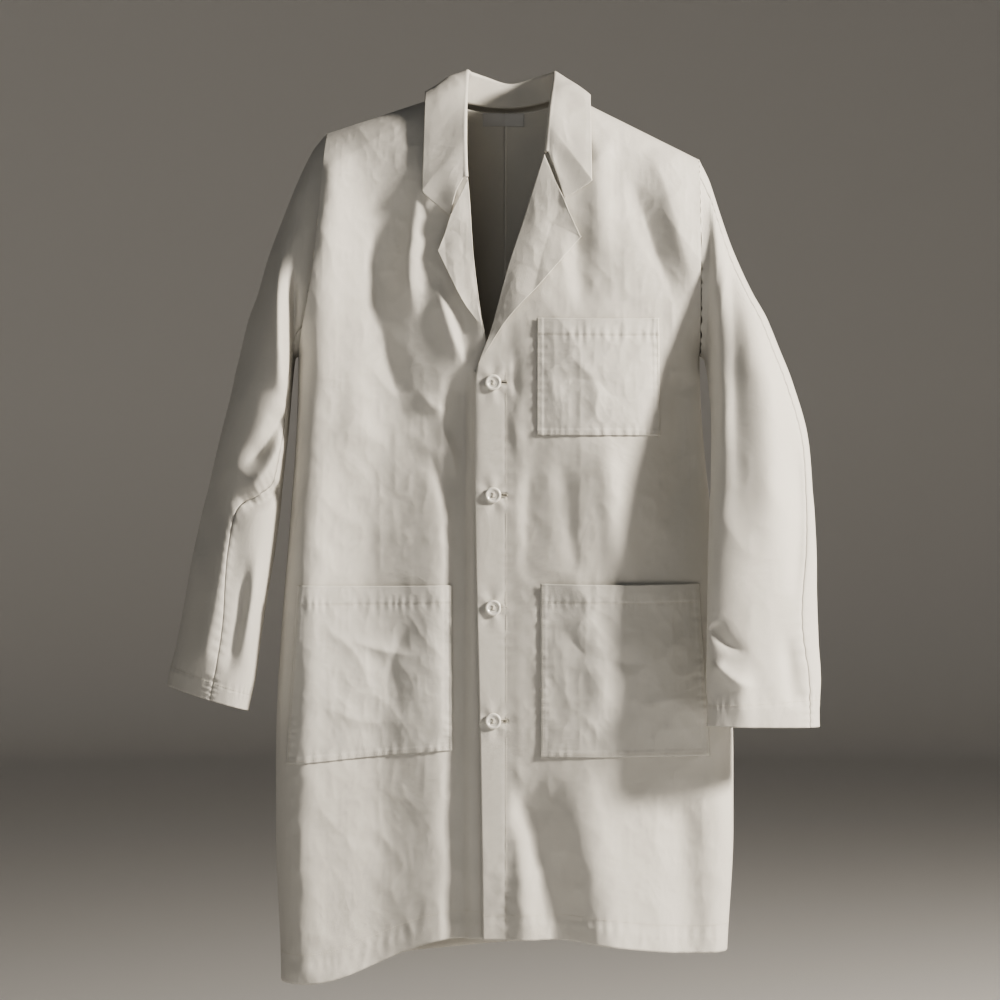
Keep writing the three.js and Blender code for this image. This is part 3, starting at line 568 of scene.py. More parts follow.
def pucker(along: Array, away: Array, height: float, pitch: float, reach: float, seed: int) -> Array:
    """Small gathers that a line of stitches pulls into cloth.

    Args:
        along: distance along the stitches.
        away: distance from them.
        height: the gathers' height.
        pitch: the distance from gather to gather.
        reach: how far they run from the stitches.
        seed: their jitter.

    Returns:
        Heights of the gathers.
    """
    jitter = field_noise(along, 0 * along, 3 * pitch, seed) * pitch
    strength = 0.55 + 0.45 * field_noise(along, 0 * along + 40, 4 * pitch, seed + 3)
    wave = np.sin(2 * math.pi * (along + jitter) / pitch)
    return height * strength * wave * np.exp(-((away / reach) ** 2))


# ---- Finishes -----------------------------------------------------------


def shader_group(name: str, inputs: dict[str, float], outputs: Sequence[str]) -> bpy.types.NodeTree:
    """Start a shader node group.

    Args:
        name: the group's name.
        inputs: number inputs and their defaults.
        outputs: number outputs.

    Returns:
        The group's node tree, with its input and output nodes in place.
    """
    tree = bpy.data.node_groups.new(name, "ShaderNodeTree")
    tree.interface.new_socket(name="Vector", in_out="INPUT", socket_type="NodeSocketVector")
    for label, value in inputs.items():
        socket = tree.interface.new_socket(name=label, in_out="INPUT", socket_type="NodeSocketFloat")
        socket.default_value = value
    for label in outputs:
        tree.interface.new_socket(name=label, in_out="OUTPUT", socket_type="NodeSocketFloat")
    tree.nodes.new("NodeGroupInput").name = "in"
    tree.nodes.new("NodeGroupOutput").name = "out"
    return tree


def math_node(tree: bpy.types.NodeTree, kind: str, a: object, b: object = 0.0) -> bpy.types.NodeSocket:
    """Add a Math node.

    Args:
        tree: where it goes.
        kind: its operation.
        a: first value or socket.
        b: second value or socket.

    Returns:
        Its output socket.
    """
    node = tree.nodes.new("ShaderNodeMath")
    node.operation = kind
    for i, value in enumerate((a, b)):
        if isinstance(value, bpy.types.NodeSocket):
            tree.links.new(value, node.inputs[i])
        else:
            node.inputs[i].default_value = value
    return node.outputs[0]


def weave_group() -> bpy.types.NodeTree:
    """A plain weave of fine yarns with uneven slubs: its height and its tone."""
    tree = shader_group("PlainWeave", {"Yarn pitch": 0.0006, "Slub": 0.35}, ("Height", "Tone"))
    source = tree.nodes["in"]
    split = tree.nodes.new("ShaderNodeSeparateXYZ")
    tree.links.new(source.outputs["Vector"], split.inputs[0])
    waves = []
    for axis in (0, 1):
        turns = math_node(tree, "DIVIDE", split.outputs[axis], source.outputs["Yarn pitch"])
        waves.append(math_node(tree, "SINE", math_node(tree, "MULTIPLY", turns, 2 * math.pi)))
    cloth_height = math_node(tree, "ADD", math_node(tree, "MULTIPLY", waves[0], waves[1]), 1.0)
    slub = tree.nodes.new("ShaderNodeTexNoise")
    stretch = tree.nodes.new("ShaderNodeMapping")
    stretch.inputs["Scale"].default_value = (900, 90, 900)
    tree.links.new(source.outputs["Vector"], stretch.inputs[0])
    tree.links.new(stretch.outputs[0], slub.inputs["Vector"])
    slub.inputs["Detail"].default_value = 3
    uneven = math_node(tree, "MULTIPLY", slub.outputs[0], source.outputs["Slub"])
    height = math_node(tree, "ADD", math_node(tree, "MULTIPLY", cloth_height, 0.5), uneven)
    tree.links.new(height, tree.nodes["out"].inputs["Height"])
    tree.links.new(slub.outputs[0], tree.nodes["out"].inputs["Tone"])
    return tree


def crease_group() -> bpy.types.NodeTree:
    """Soft handling creases and cloudy unevenness of laundered cloth."""
    tree = shader_group("HandlingCreases", {"Scale": 9.0, "Sharpness": 3.0}, ("Height", "Cloud"))
    source = tree.nodes["in"]
    rough = tree.nodes.new("ShaderNodeTexNoise")
    rough.inputs["Detail"].default_value = 6
    rough.inputs["Roughness"].default_value = 0.55
    rough.inputs["Distortion"].default_value = 0.6
    tree.links.new(source.outputs["Vector"], rough.inputs["Vector"])
    tree.links.new(source.outputs["Scale"], rough.inputs["Scale"])
    centred = math_node(tree, "ABSOLUTE", math_node(tree, "SUBTRACT", rough.outputs[0], 0.5))
    thin = math_node(tree, "MULTIPLY", centred, source.outputs["Sharpness"])
    ridge = math_node(tree, "SUBTRACT", 1.0, math_node(tree, "MINIMUM", thin, 1.0))
    tree.links.new(ridge, tree.nodes["out"].inputs["Height"])
    cloud = tree.nodes.new("ShaderNodeTexNoise")
    cloud.inputs["Scale"].default_value = 5
    cloud.inputs["Detail"].default_value = 4
    tree.links.new(source.outputs["Vector"], cloud.inputs["Vector"])
    tree.links.new(cloud.outputs[0], tree.nodes["out"].inputs["Cloud"])
    return tree


def two_tone(tree: bpy.types.NodeTree, factor: bpy.types.NodeSocket, finish: object) -> None:
    """Colour the shader between a finish's shade and its colour.

    Args:
        tree: the material's nodes.
        factor: 0 for the shade, 1 for the colour.
        finish: what holds both.
    """
    tone = tree.nodes.new("ShaderNodeMix")
    tone.data_type = "RGBA"
    tone.inputs["A"].default_value = (*finish.shade, 1)
    tone.inputs["B"].default_value = (*finish.colour, 1)
    tree.links.new(factor, tone.inputs["Factor"])
    tree.links.new(tone.outputs["Result"], tree.nodes["Principled BSDF"].inputs["Base Color"])


@dataclass(frozen=True)
class ClothFinish:
    """Woven cotton with weave, creases, clouded tone and a soft sheen."""

    name: str
    colour: tuple[float, float, float]
    shade: tuple[float, float, float]
    yarn: float = 0.0006
    crease: float = 0.0016
    sheen: float = 0.22
    rough: float = 0.78

    def build(self, weave: bpy.types.NodeTree, creases: bpy.types.NodeTree) -> bpy.types.Material:
        """Make the material.

        Args:
            weave: the weave group.
            creases: the crease group.

        Returns:
            The finished material.
        """
        material = bpy.data.materials.new(self.name)
        material.use_nodes = True
        tree = material.node_tree
        shader = tree.nodes["Principled BSDF"]
        shader.inputs["Sheen Weight"].default_value = self.sheen
        shader.inputs["Sheen Roughness"].default_value = 0.5
        shader.inputs["Specular IOR Level"].default_value = 0.25
        place = tree.nodes.new("ShaderNodeTexCoord")
        cloth_weave = tree.nodes.new("ShaderNodeGroup")
        cloth_weave.node_tree = weave
        cloth_weave.inputs["Yarn pitch"].default_value = self.yarn
        tree.links.new(place.outputs["UV"], cloth_weave.inputs["Vector"])
        handling = tree.nodes.new("ShaderNodeGroup")
        handling.node_tree = creases
        tree.links.new(place.outputs["Object"], handling.inputs["Vector"])
        spread = math_node(tree, "ADD", math_node(tree, "MULTIPLY", cloth_weave.outputs["Tone"], 0.5),
                           math_node(tree, "MULTIPLY", handling.outputs["Cloud"], 0.9))
        two_tone(tree, spread, self)
        roughness = math_node(tree, "ADD", math_node(tree, "MULTIPLY", handling.outputs["Cloud"], 0.12),
                              self.rough - 0.06)
        tree.links.new(roughness, shader.inputs["Roughness"])
        broad = tree.nodes.new("ShaderNodeBump")
        broad.inputs["Distance"].default_value = self.crease
        broad.inputs["Strength"].default_value = 0.5
        tree.links.new(handling.outputs["Height"], broad.inputs["Height"])
        fine = tree.nodes.new("ShaderNodeBump")
        fine.inputs["Distance"].default_value = 0.00012
        fine.inputs["Strength"].default_value = 0.6
        tree.links.new(cloth_weave.outputs["Height"], fine.inputs["Height"])
        tree.links.new(broad.outputs[0], fine.inputs["Normal"])
        tree.links.new(fine.outputs[0], shader.inputs["Normal"])
        return material


@dataclass(frozen=True)
class ResinFinish:
    """Pearly resin: pale, glossy and faintly clouded."""

    name: str = "pearl_resin"
    colour: tuple[float, float, float] = (0.95, 0.94, 0.90)
    shade: tuple[float, float, float] = (0.80, 0.78, 0.73)

    def build(self) -> bpy.types.Material:
        """Make the material."""
        material = bpy.data.materials.new(self.name)
        material.use_nodes = True
        tree = material.node_tree
        shader = tree.nodes["Principled BSDF"]
        shader.inputs["Coat Weight"].default_value = 0.5
        shader.inputs["Coat Roughness"].default_value = 0.08
        shader.inputs["Subsurface Weight"].default_value = 0.08
        shader.inputs["Subsurface Radius"].default_value = (0.002, 0.0018, 0.0015)
        shader.inputs["Subsurface Scale"].default_value = 1.0
        place = tree.nodes.new("ShaderNodeTexCoord")
        cloud = tree.nodes.new("ShaderNodeTexNoise")
        cloud.inputs["Scale"].default_value = 260
        cloud.inputs["Detail"].default_value = 3
        cloud.inputs["Distortion"].default_value = 1.4
        tree.links.new(place.outputs["Object"], cloud.inputs["Vector"])
        two_tone(tree, cloud.outputs[0], self)
        tree.links.new(math_node(tree, "MULTIPLY", cloud.outputs[0], 0.5), shader.inputs["Roughness"])
        return material


@dataclass(frozen=True)
class ThreadFinish:
    """Twisted sewing thread."""

    name: str = "sewing_thread"
    colour: tuple[float, float, float] = (0.80, 0.775, 0.71)
    shade: tuple[float, float, float] = (0.60, 0.57, 0.50)

    def build(self) -> bpy.types.Material:
        """Make the material."""
        material = bpy.data.materials.new(self.name)
        material.use_nodes = True
        tree = material.node_tree
        shader = tree.nodes["Principled BSDF"]
        shader.inputs["Sheen Weight"].default_value = 0.3
        place = tree.nodes.new("ShaderNodeTexCoord")
        twist = tree.nodes.new("ShaderNodeTexWave")
        twist.bands_direction = "DIAGONAL"
        twist.inputs["Scale"].default_value = 900
        twist.inputs["Distortion"].default_value = 1
        tree.links.new(place.outputs["Object"], twist.inputs["Vector"])
        two_tone(tree, twist.outputs["Fac"], self)
        tree.links.new(math_node(tree, "ADD", math_node(tree, "MULTIPLY", twist.outputs["Fac"], 0.2), 0.6),
                       shader.inputs["Roughness"])
        return material


class Wardrobe:
    """The coat's finishes, each built once."""

    def __init__(self) -> None:
        """Build every finish."""
        weave, creases = weave_group(), crease_group()
        self.cotton = ClothFinish("white_poly_cotton", (0.77, 0.755, 0.715), (0.66, 0.64, 0.595)).build(weave,
                                                                                                        creases)
        self.pocket = ClothFinish("pocket_poly_cotton", (0.765, 0.752, 0.715), (0.65, 0.635, 0.595),
                                  crease=0.0022).build(weave, creases)
        self.label = ClothFinish("woven_label_satin", (0.72, 0.72, 0.72), (0.6, 0.6, 0.6), yarn=0.0003,
                                 sheen=0.4, rough=0.5).build(weave, creases)
        self.resin = ResinFinish().build()
        self.thread = ThreadFinish().build()


# ---- Stitching ----------------------------------------------------------


@dataclass
class Stitching:
    """Rows of thread stitches gathered into one piece."""

    name: str
    pitch: float = 3.0
    length: float = 2.2
    radius: float = 0.3

    def __post_init__(self) -> None:
        """Start with no stitches."""
        self.points: list[Array] = []
        self.faces: list[Array] = []
        self.count = 0

    def run(self, line: Array, out: Array) -> None:
        """Sew along a line.

        Args:
            line: points in millimetres on the cloth's outer face.
            out: the cloth's outward directions there.
        """
        steps = np.linalg.norm(np.diff(line, axis=0), axis=1)
        distance = np.concatenate([[0], np.cumsum(steps)])
        places = np.arange(self.pitch / 2, distance[-1], self.pitch)
        if not len(places):
            return
        centre = np.stack([np.interp(places, distance, line[:, i]) for i in range(3)], axis=1)
        ahead = np.stack([np.interp(places + 0.5, distance, line[:, i]) for i in range(3)], axis=1)
        behind = np.stack([np.interp(places - 0.5, distance, line[:, i]) for i in range(3)], axis=1)
        up = np.stack([np.interp(places, distance, out[:, i]) for i in range(3)], axis=1)
        run = ahead - behind
        run /= np.maximum(np.linalg.norm(run, axis=1, keepdims=True), 1e-9)
        up /= np.maximum(np.linalg.norm(up, axis=1, keepdims=True), 1e-9)
        side = np.cross(run, up)
        ring = [(a, math.cos(b) * c, math.sin(b) * c)
                for a, c in ((-0.5, 0.35), (-0.25, 1.0), (0.25, 1.0), (0.5, 0.35))
                for b in np.linspace(0, 2 * math.pi, STITCH_SIDES, endpoint=False)]
        for i in range(len(places)):
            form = np.array([a * self.length * run[i] + b * self.radius * side[i] + (c + 0.25) * self.radius * up[i]
                             for a, b, c in ring]) + centre[i]
            self.points.append(form)
        caps = [[0, 3, 2, 1], [0, 5, 4, 3], [18, 19, 20, 21], [18, 21, 22, 23]]
        pattern = np.concatenate([ring_faces(STITCH_RINGS, STITCH_SIDES), caps])
        for i in range(len(places)):
            self.faces.append(pattern + STITCH_RINGS * STITCH_SIDES * (self.count + i))
        self.count += len(places)

    def finish(self, material: bpy.types.Material) -> bpy.types.Object:
        """Make the piece.

        Args:
            material: the thread's material.

        Returns:
            The object that holds every stitch.
        """
        obj = new_object(self.name, np.concatenate(self.points), np.concatenate(self.faces))
        obj.data.materials.append(material)
        return obj


# ---- Pieces -------------------------------------------------------------


@dataclass
class Sewn:
    """A piece of cloth in place: its object, its outer face's grid and normals, and its material."""

    obj: bpy.types.Object
    grid: Array
    normals: Array
    material: bpy.types.Material

    def settle(self, nodes: Sequence[str], held: str, flat: tuple[float, float], slot: str = "poly_cotton") -> None:
        """Args:
            nodes: the frame's nodes that it stands for.
            held: how the cloth is held; not used.
            flat: width and length of its cut, in metres; not used.
            slot: the record's material slot; not used.
        """
        self.obj.data.materials.append(self.material)
        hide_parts(*nodes)

    def column(self, j: int, lift: float = 0.0) -> tuple[Array, Array]:
        """The points and normals down one column."""
        return self.grid[:, j] + self.normals[:, j] * lift, self.normals[:, j]

    def row(self, i: int, lift: float = 0.0) -> tuple[Array, Array]:
        """The points and normals along one row."""
        return self.grid[i] + self.normals[i] * lift, self.normals[i]


def sew(name: str, grid: Array, sign: int, material: bpy.types.Material, thickness: float = PLY,
        keep: Optional[Array] = None) -> Sewn:
    """Make a cloth and keep its grid with it.

    Args:
        name: the piece's name.
        grid: its outer face.
        sign: which way out is.
        material: its cloth.
        thickness: how thick it is.
        keep: which cells are cloth.

    Returns:
        The piece.
    """
    return Sewn(cloth(name, grid, sign, thickness, keep), grid, grid_normals(grid, sign), material)


BUTTONHOLE = {"length": 19.2, "height": 1.8, "reach": 3.2}


def button_heights() -> list[float]:
    """Heights of the buttons' centres."""
    return [(low(f"button_{i}").z + high(f"button_{i}").z) / 2 for i in range(1, 5)]


def slit_cells(x: Array, z: Array) -> Array:
    """Which cells of a grid are cloth once the buttonholes are cut."""
    cx = (x[:-1, :-1] + x[1:, 1:]) / 2
    cz = (z[:-1, :-1] + z[1:, 1:]) / 2
    keep = np.ones(cx.shape, bool)
    start = CENTRE_X - BUTTONHOLE["reach"]
    for height in button_heights():
        inside = (cx > start) & (cx < start + BUTTONHOLE["length"]) & (np.abs(cz - height) < BUTTONHOLE["height"] / 2)
        keep &= ~inside
    return keep


def outer_edge(side: Side) -> Callable:
    """Outer edge of a body panel, shoulder tip to hem, as a function of t."""
    (tx, tz), (ax, az) = side.tip, side.armpit
    armhole = Track((0, tx, tz), (0.12, mix(tx, ax, 0.2), mix(tz, az, 0.34)),
                    (0.21, mix(tx, ax, 0.5), mix(tz, az, 0.68)), (ARMPIT_SHARE, ax, az))

    def edge(t: Array) -> Array:
        """Points (x, z) at t."""
        z = mix(az, side.hem_z, (t - ARMPIT_SHARE) / (1 - ARMPIT_SHARE))
        below = np.stack([Body.side_x(side, z), z], axis=-1)
        both = np.where((t < ARMPIT_SHARE)[..., None], armhole(np.minimum(t, ARMPIT_SHARE)), below)
        return both * np.array([side.sign, 1])

    return edge


def right_inner_edge() -> Callable:
    """Inner edge of the right front: neck, roll line, underlap."""
    rx, rz = ROLL_TOP["right"]
    neck = float(Body.shoulder_z(np.array(-NECK_HALF)))
    edge = CENTRE_X + OVERLAP_HALF - 2
    hem = float(Body.hem_z(np.array(edge)))
    return Track((0, -NECK_HALF, neck), (0.08, mix(-NECK_HALF, rx, 0.5), mix(neck, rz, 0.46)), (0.16, rx, rz),
                 (0.22, rx + 7, rz - 94), (0.3, CENTRE_X - 9, V_POINT_Z + 36), (0.37, edge - 4, V_POINT_Z - 35),
                 (0.46, edge, mix(V_POINT_Z, hem, 0.22)), (1, edge, hem))


def left_inner_edge() -> Callable:
    """Inner edge of the left front: neck, roll line, buttoned edge."""
    rx, rz = ROLL_TOP["left"]
    neck = float(Body.shoulder_z(np.array(NECK_HALF)))
    edge = CENTRE_X - OVERLAP_HALF
    hem = float(Body.hem_z(np.array(edge)))
    return Track((0, NECK_HALF, neck), (0.05, mix(NECK_HALF, rx, 0.4), mix(neck, rz, 0.4)), (0.1, rx, rz),
                 (0.18, 18, rz - 87), (0.23, 4, rz - 130), (0.28, CENTRE_X - 2, V_POINT_Z + 40),
                 (0.32, edge, V_POINT_Z),
                 (0.36, edge - 4, V_POINT_Z - 40), (0.46, edge - 4, V_POINT_Z - 149),
                 (0.76, edge + 3, mix(V_POINT_Z, hem, 0.69)), (1, edge + 6, hem))


def hem_dress(x: Array, z: Array, hem: Array, seed: int) -> Array:
    """Extra lift of a turned and stitched hem.

    Args:
        x: points' x.
        z: points' z.
        hem: the hem's height at each point.
        seed: the gathers' jitter.

    Returns:
        The lift at each point.
    """
    rise = z - hem
    doubled = 0.7 * smooth(HEM_TURN + 1, HEM_TURN - 1.5, rise)
    groove = -0.5 * np.exp(-(((rise - HEM_TURN + 2) / 1.6) ** 2))
    return doubled + groove + pucker(x, rise - HEM_TURN + 2, 0.5, 13, 9, seed) + pucker(x, rise, 0.35, 17, 7,
                                                                                        seed + 9)


@dataclass
class Fronts:
    """The two fronts, their facings and the buttoned edge."""

    wardrobe: Wardrobe
    columns: int = 150
    rows: int = 400

    def _panel(self, inner: Callable, side: Side) -> tuple[Array, Array]:
        """The flat grid of a front in (x, z)."""
        outer = outer_edge(side)
        ends = [f(np.array([0.0, 1.0])) for f in (inner, outer)]

        def top(u: Array) -> Array:
            """Shoulder seam."""
            return mix(ends[0][0], ends[1][0], u[:, None])

        def bottom(u: Array) -> Array:
            """Hem."""
            x = mix(ends[0][1][0], ends[1][1][0], u)
            return np.stack([x, Body.hem_z(x)], axis=-1)

        u = 1 - (1 - np.linspace(0, 1, self.columns)) ** 1.3
        t = np.linspace(0, 1, self.rows) ** 1.1
        return patch(inner, outer, top, bottom, u, t)

    def right(self) -> Sewn:
        """The wearer's right front, which lies under."""
        x, z = self._panel(right_inner_edge(), RIGHT)
        y = Body.under_y(x, z) - hem_dress(x, z, Body.hem_z(x), 3)
        piece = sew("right_front_cloth", np.stack([x, y, z], 2), 1, self.wardrobe.cotton)
        piece.settle(["right_front"], "hung", (0.31, 1.03))
        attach(piece.obj, "coat_body")
        return piece

    def left(self) -> Sewn:
        """The wearer's left front, which laps over and holds the buttonholes."""
        x, z = self._panel(left_inner_edge(), LEFT)
        y = Body.front_y(x, z) - hem_dress(x, z, Body.hem_z(x), 5)
        stitched = CENTRE_X + OVERLAP_HALF - 3
        below = smooth(V_POINT_Z + 10, V_POINT_Z - 10, z)
        y += 0.45 * np.exp(-(((x - stitched) / 1.8) ** 2)) * below
        y -= pucker(z, x - stitched, 0.35, 16, 7, 31) * below
        for height in button_heights():
            reach = np.hypot(x - CENTRE_X, z - height)
            angle = np.arctan2(z - height, x - CENTRE_X)
            y -= 0.7 * np.cos(5 * angle + height) * np.exp(-(((reach - 15) / 11) ** 2))
        piece = sew("left_front_cloth", np.stack([x, y, z], 2), -1, self.wardrobe.cotton, keep=slit_cells(x, z))
        piece.settle(["left_front", "left_skirt_corner"], "hung", (0.33, 1.0))
        blend_corner(piece.obj)
        return piece

    def facing(self, name: str, nodes: Sequence[str], inner: Callable, direction: int, depth: Callable) -> Sewn:
        """A facing behind a front edge.

        Args:
            name: the piece's name.
            nodes: the nodes that it stands for.
            inner: the front's inner edge.
            direction: which way in x it runs from the edge.
            depth: y of the cloth it backs.

        Returns:
            The piece.
        """
        t = np.linspace(0, 1, 220)
        edge = inner(mix(0.37, 1.0, t))[:, 0][:, None]
        x = edge + direction * (0.6 + np.linspace(0, 57, 30)[None, :])
        z = mix(V_POINT_Z - 6, Body.hem_z(x) + 1.2, t[:, None])
        y = depth(x, z) + PLY + 0.5
        keep = slit_cells(x, z) if direction > 0 else None
        piece = sew(name, np.stack([x, y, z], 2), -direction, self.wardrobe.cotton, keep=keep)
        piece.settle(nodes, "stretched", (0.058, 0.66))
        return piece

    def build(self) -> dict[str, Sewn]:
        """Make both fronts and both facings."""
        pieces = {"right": self.right(), "left": self.left()}
        right = self.facing("right_facing_cloth", ["right_front_facing"], right_inner_edge(), -1, Body.under_y)
        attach(right.obj, "coat_body")
        left = self.facing("left_facing_cloth", ["left_front_facing", "left_corner_facing"], left_inner_edge(),
                           1, Body.front_y)
        blend_corner(left.obj)
        return pieces


def blend_corner(obj: bpy.types.Object) -> None:
    """Bake the transform of a piece at the left skirt corner into its mesh."""
    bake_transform(obj)


@dataclass
class Back:
    """The two back panels, joined at the centre back seam."""

    wardrobe: Wardrobe
    columns: int = 100
    rows: int = 240

    def panel(self, side: Side, name: str, node: str) -> Sewn:
        """One back panel.

        Args:
            side: which side.
            name: the piece's name.
            node: the node that it stands for.

        Returns:
            The piece.
        """
        outer = outer_edge(side)
        neck_share = NECK_HALF / side.tip[0]
        armpit_share = side.armpit[1] / BACK_HEM_Z

        def inner(t: Array) -> Array:
            """Centre back seam."""
            level = np.where(t < ARMPIT_SHARE, t * armpit_share / ARMPIT_SHARE,
                             mix(armpit_share, 1.0, (t - ARMPIT_SHARE) / (1 - ARMPIT_SHARE)))
            return np.stack([0 * t + side.sign * 0.2, mix(-2.0, BACK_HEM_Z, level)], axis=-1)

        def top(u: Array) -> Array:
            """Back neck, then the shoulder seam."""
            x = side.sign * mix(0.2, side.tip[0], u)
            seam = Body.shoulder_z(side.sign * np.maximum(np.abs(x), NECK_HALF))
            neck = mix(-2.0, seam, np.clip(u / neck_share, 0, 1) ** 3)
            return np.stack([x, np.where(u < neck_share, neck, seam)], axis=-1)

        def bottom(u: Array) -> Array:
            """Hem."""
            ends = inner(np.array([1.0]))[0], outer(np.array([1.0]))[0]
            return mix(ends[0], ends[1], u[:, None])

        u = 1 - (1 - np.linspace(0, 1, self.columns)) ** 1.3
        t = np.linspace(0, 1, self.rows) ** 1.1
        x, z = patch(inner, outer, top, bottom, u, t)
        hem = mix(BACK_HEM_Z, side.hem_z, np.abs(x) / side.hem_half)
        seam = 0.25 * np.exp(-((np.abs(x) / 2.5) ** 2)) - pucker(z, x, 0.4, 15, 8, 77)
        y = Body.back_y(x, z) + hem_dress(x, z, hem, 7) * smooth(0, 0.3, Body.roundness(x, z)) - seam
        piece = sew(name, np.stack([x, y, z], 2), side.sign, self.wardrobe.cotton)
        piece.settle([node], "hung", (0.30, 1.03))
        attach(piece.obj, "coat_body")
        return piece

    def build(self) -> list[Sewn]:
        """Make both panels."""
        return [self.panel(RIGHT, "right_back_cloth", "right_back"), self.panel(LEFT, "left_back_cloth", "left_back")]


@dataclass
class Lapels:
    """The turned-back lapels, free below the gorge seams."""

    wardrobe: Wardrobe
    lift: float = 1.2
    stand: float = 5.0

    def _make(self, name: str, node: str, roll: Track, free: Track, sign: int, depth: Callable, seed: int) -> Sewn:
        """One lapel between its roll line and free edge."""
        t = np.linspace(0, 1, 150)
        u = np.linspace(0, 1, 60)[None, :]
        a, b = roll(t)[:, None, :], free(t)[:, None, :]
        x, z = mix(a[..., 0], b[..., 0], u), mix(a[..., 1], b[..., 1], u)
        width = np.abs(b[..., 0] - a[..., 0])
        rolled = 2.6 * np.sin(math.pi * np.clip(u * width / 30, 0, 1)) * smooth(4, 20, width)
        wave = 1.2 * field_noise(x, z, 40, seed) * smooth(0, 0.3, u)
        stand = self.stand * u**1.5 * smooth(0.02, 0.4, t)[:, None]
        gorge = 5.5 * (smooth(0.62, 1.0, t)[:, None]) * (1 - 0.75 * u)
        y = depth(x, z) - self.lift - 1.4 - rolled - stand - gorge - np.abs(wave)
        piece = sew(name, np.stack([x, y, z], 2), sign, self.wardrobe.cotton, thickness=1.1)
        piece.settle([node], "folded", (0.085, 0.27) if sign > 0 else (0.046, 0.18))
        return piece

    def build(self) -> None:
        """Make both lapels."""
        (rx, rz), (lx, lz) = ROLL_TOP["right"], ROLL_TOP["left"]
        vx, vz = CENTRE_X - 12, V_POINT_Z + 44
        right = self._make(
            "right_lapel_cloth", "right_lapel",
            Track((0, vx, vz), (0.5, rx + 7, rz - 94), (1, rx + 0.5, rz - 2)),
            Track((0, vx - 1, vz), (0.35, vx - 24, vz + 32), (0.7, vx - 51, vz + 86), (0.72, vx - 51.5, vz + 87.5),
                  (0.85, vx - 44, vz + 106), (1, rx - 19.5, rz - 43.5)), -1, Body.under_y, 61)
        vx = CENTRE_X - OVERLAP_HALF + 1
        left = self._make(
            "left_lapel_cloth", "left_lapel",
            Track((0, vx, V_POINT_Z + 1), (0.2, vx + 15, V_POINT_Z + 42), (0.5, 4, lz - 130),
                  (0.7, 18, lz - 87), (1, lx, lz - 3)),
            Track((0, vx + 1, V_POINT_Z + 2), (0.25, vx + 32, V_POINT_Z + 51), (0.5, vx + 68, V_POINT_Z + 90),
                  (0.76, lx + 41.5, lz - 98.5), (0.78, lx + 41, lz - 97), (0.89, lx + 32, lz - 78),
                  (1, lx + 21.5, lz - 55.5)),
            1, Body.front_y, 67)
        blend_lapel(right.obj)
        blend_lapel(left.obj)


def blend_lapel(obj: bpy.types.Object) -> None:
    """Bake a lapel's transform into its mesh."""
    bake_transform(obj)


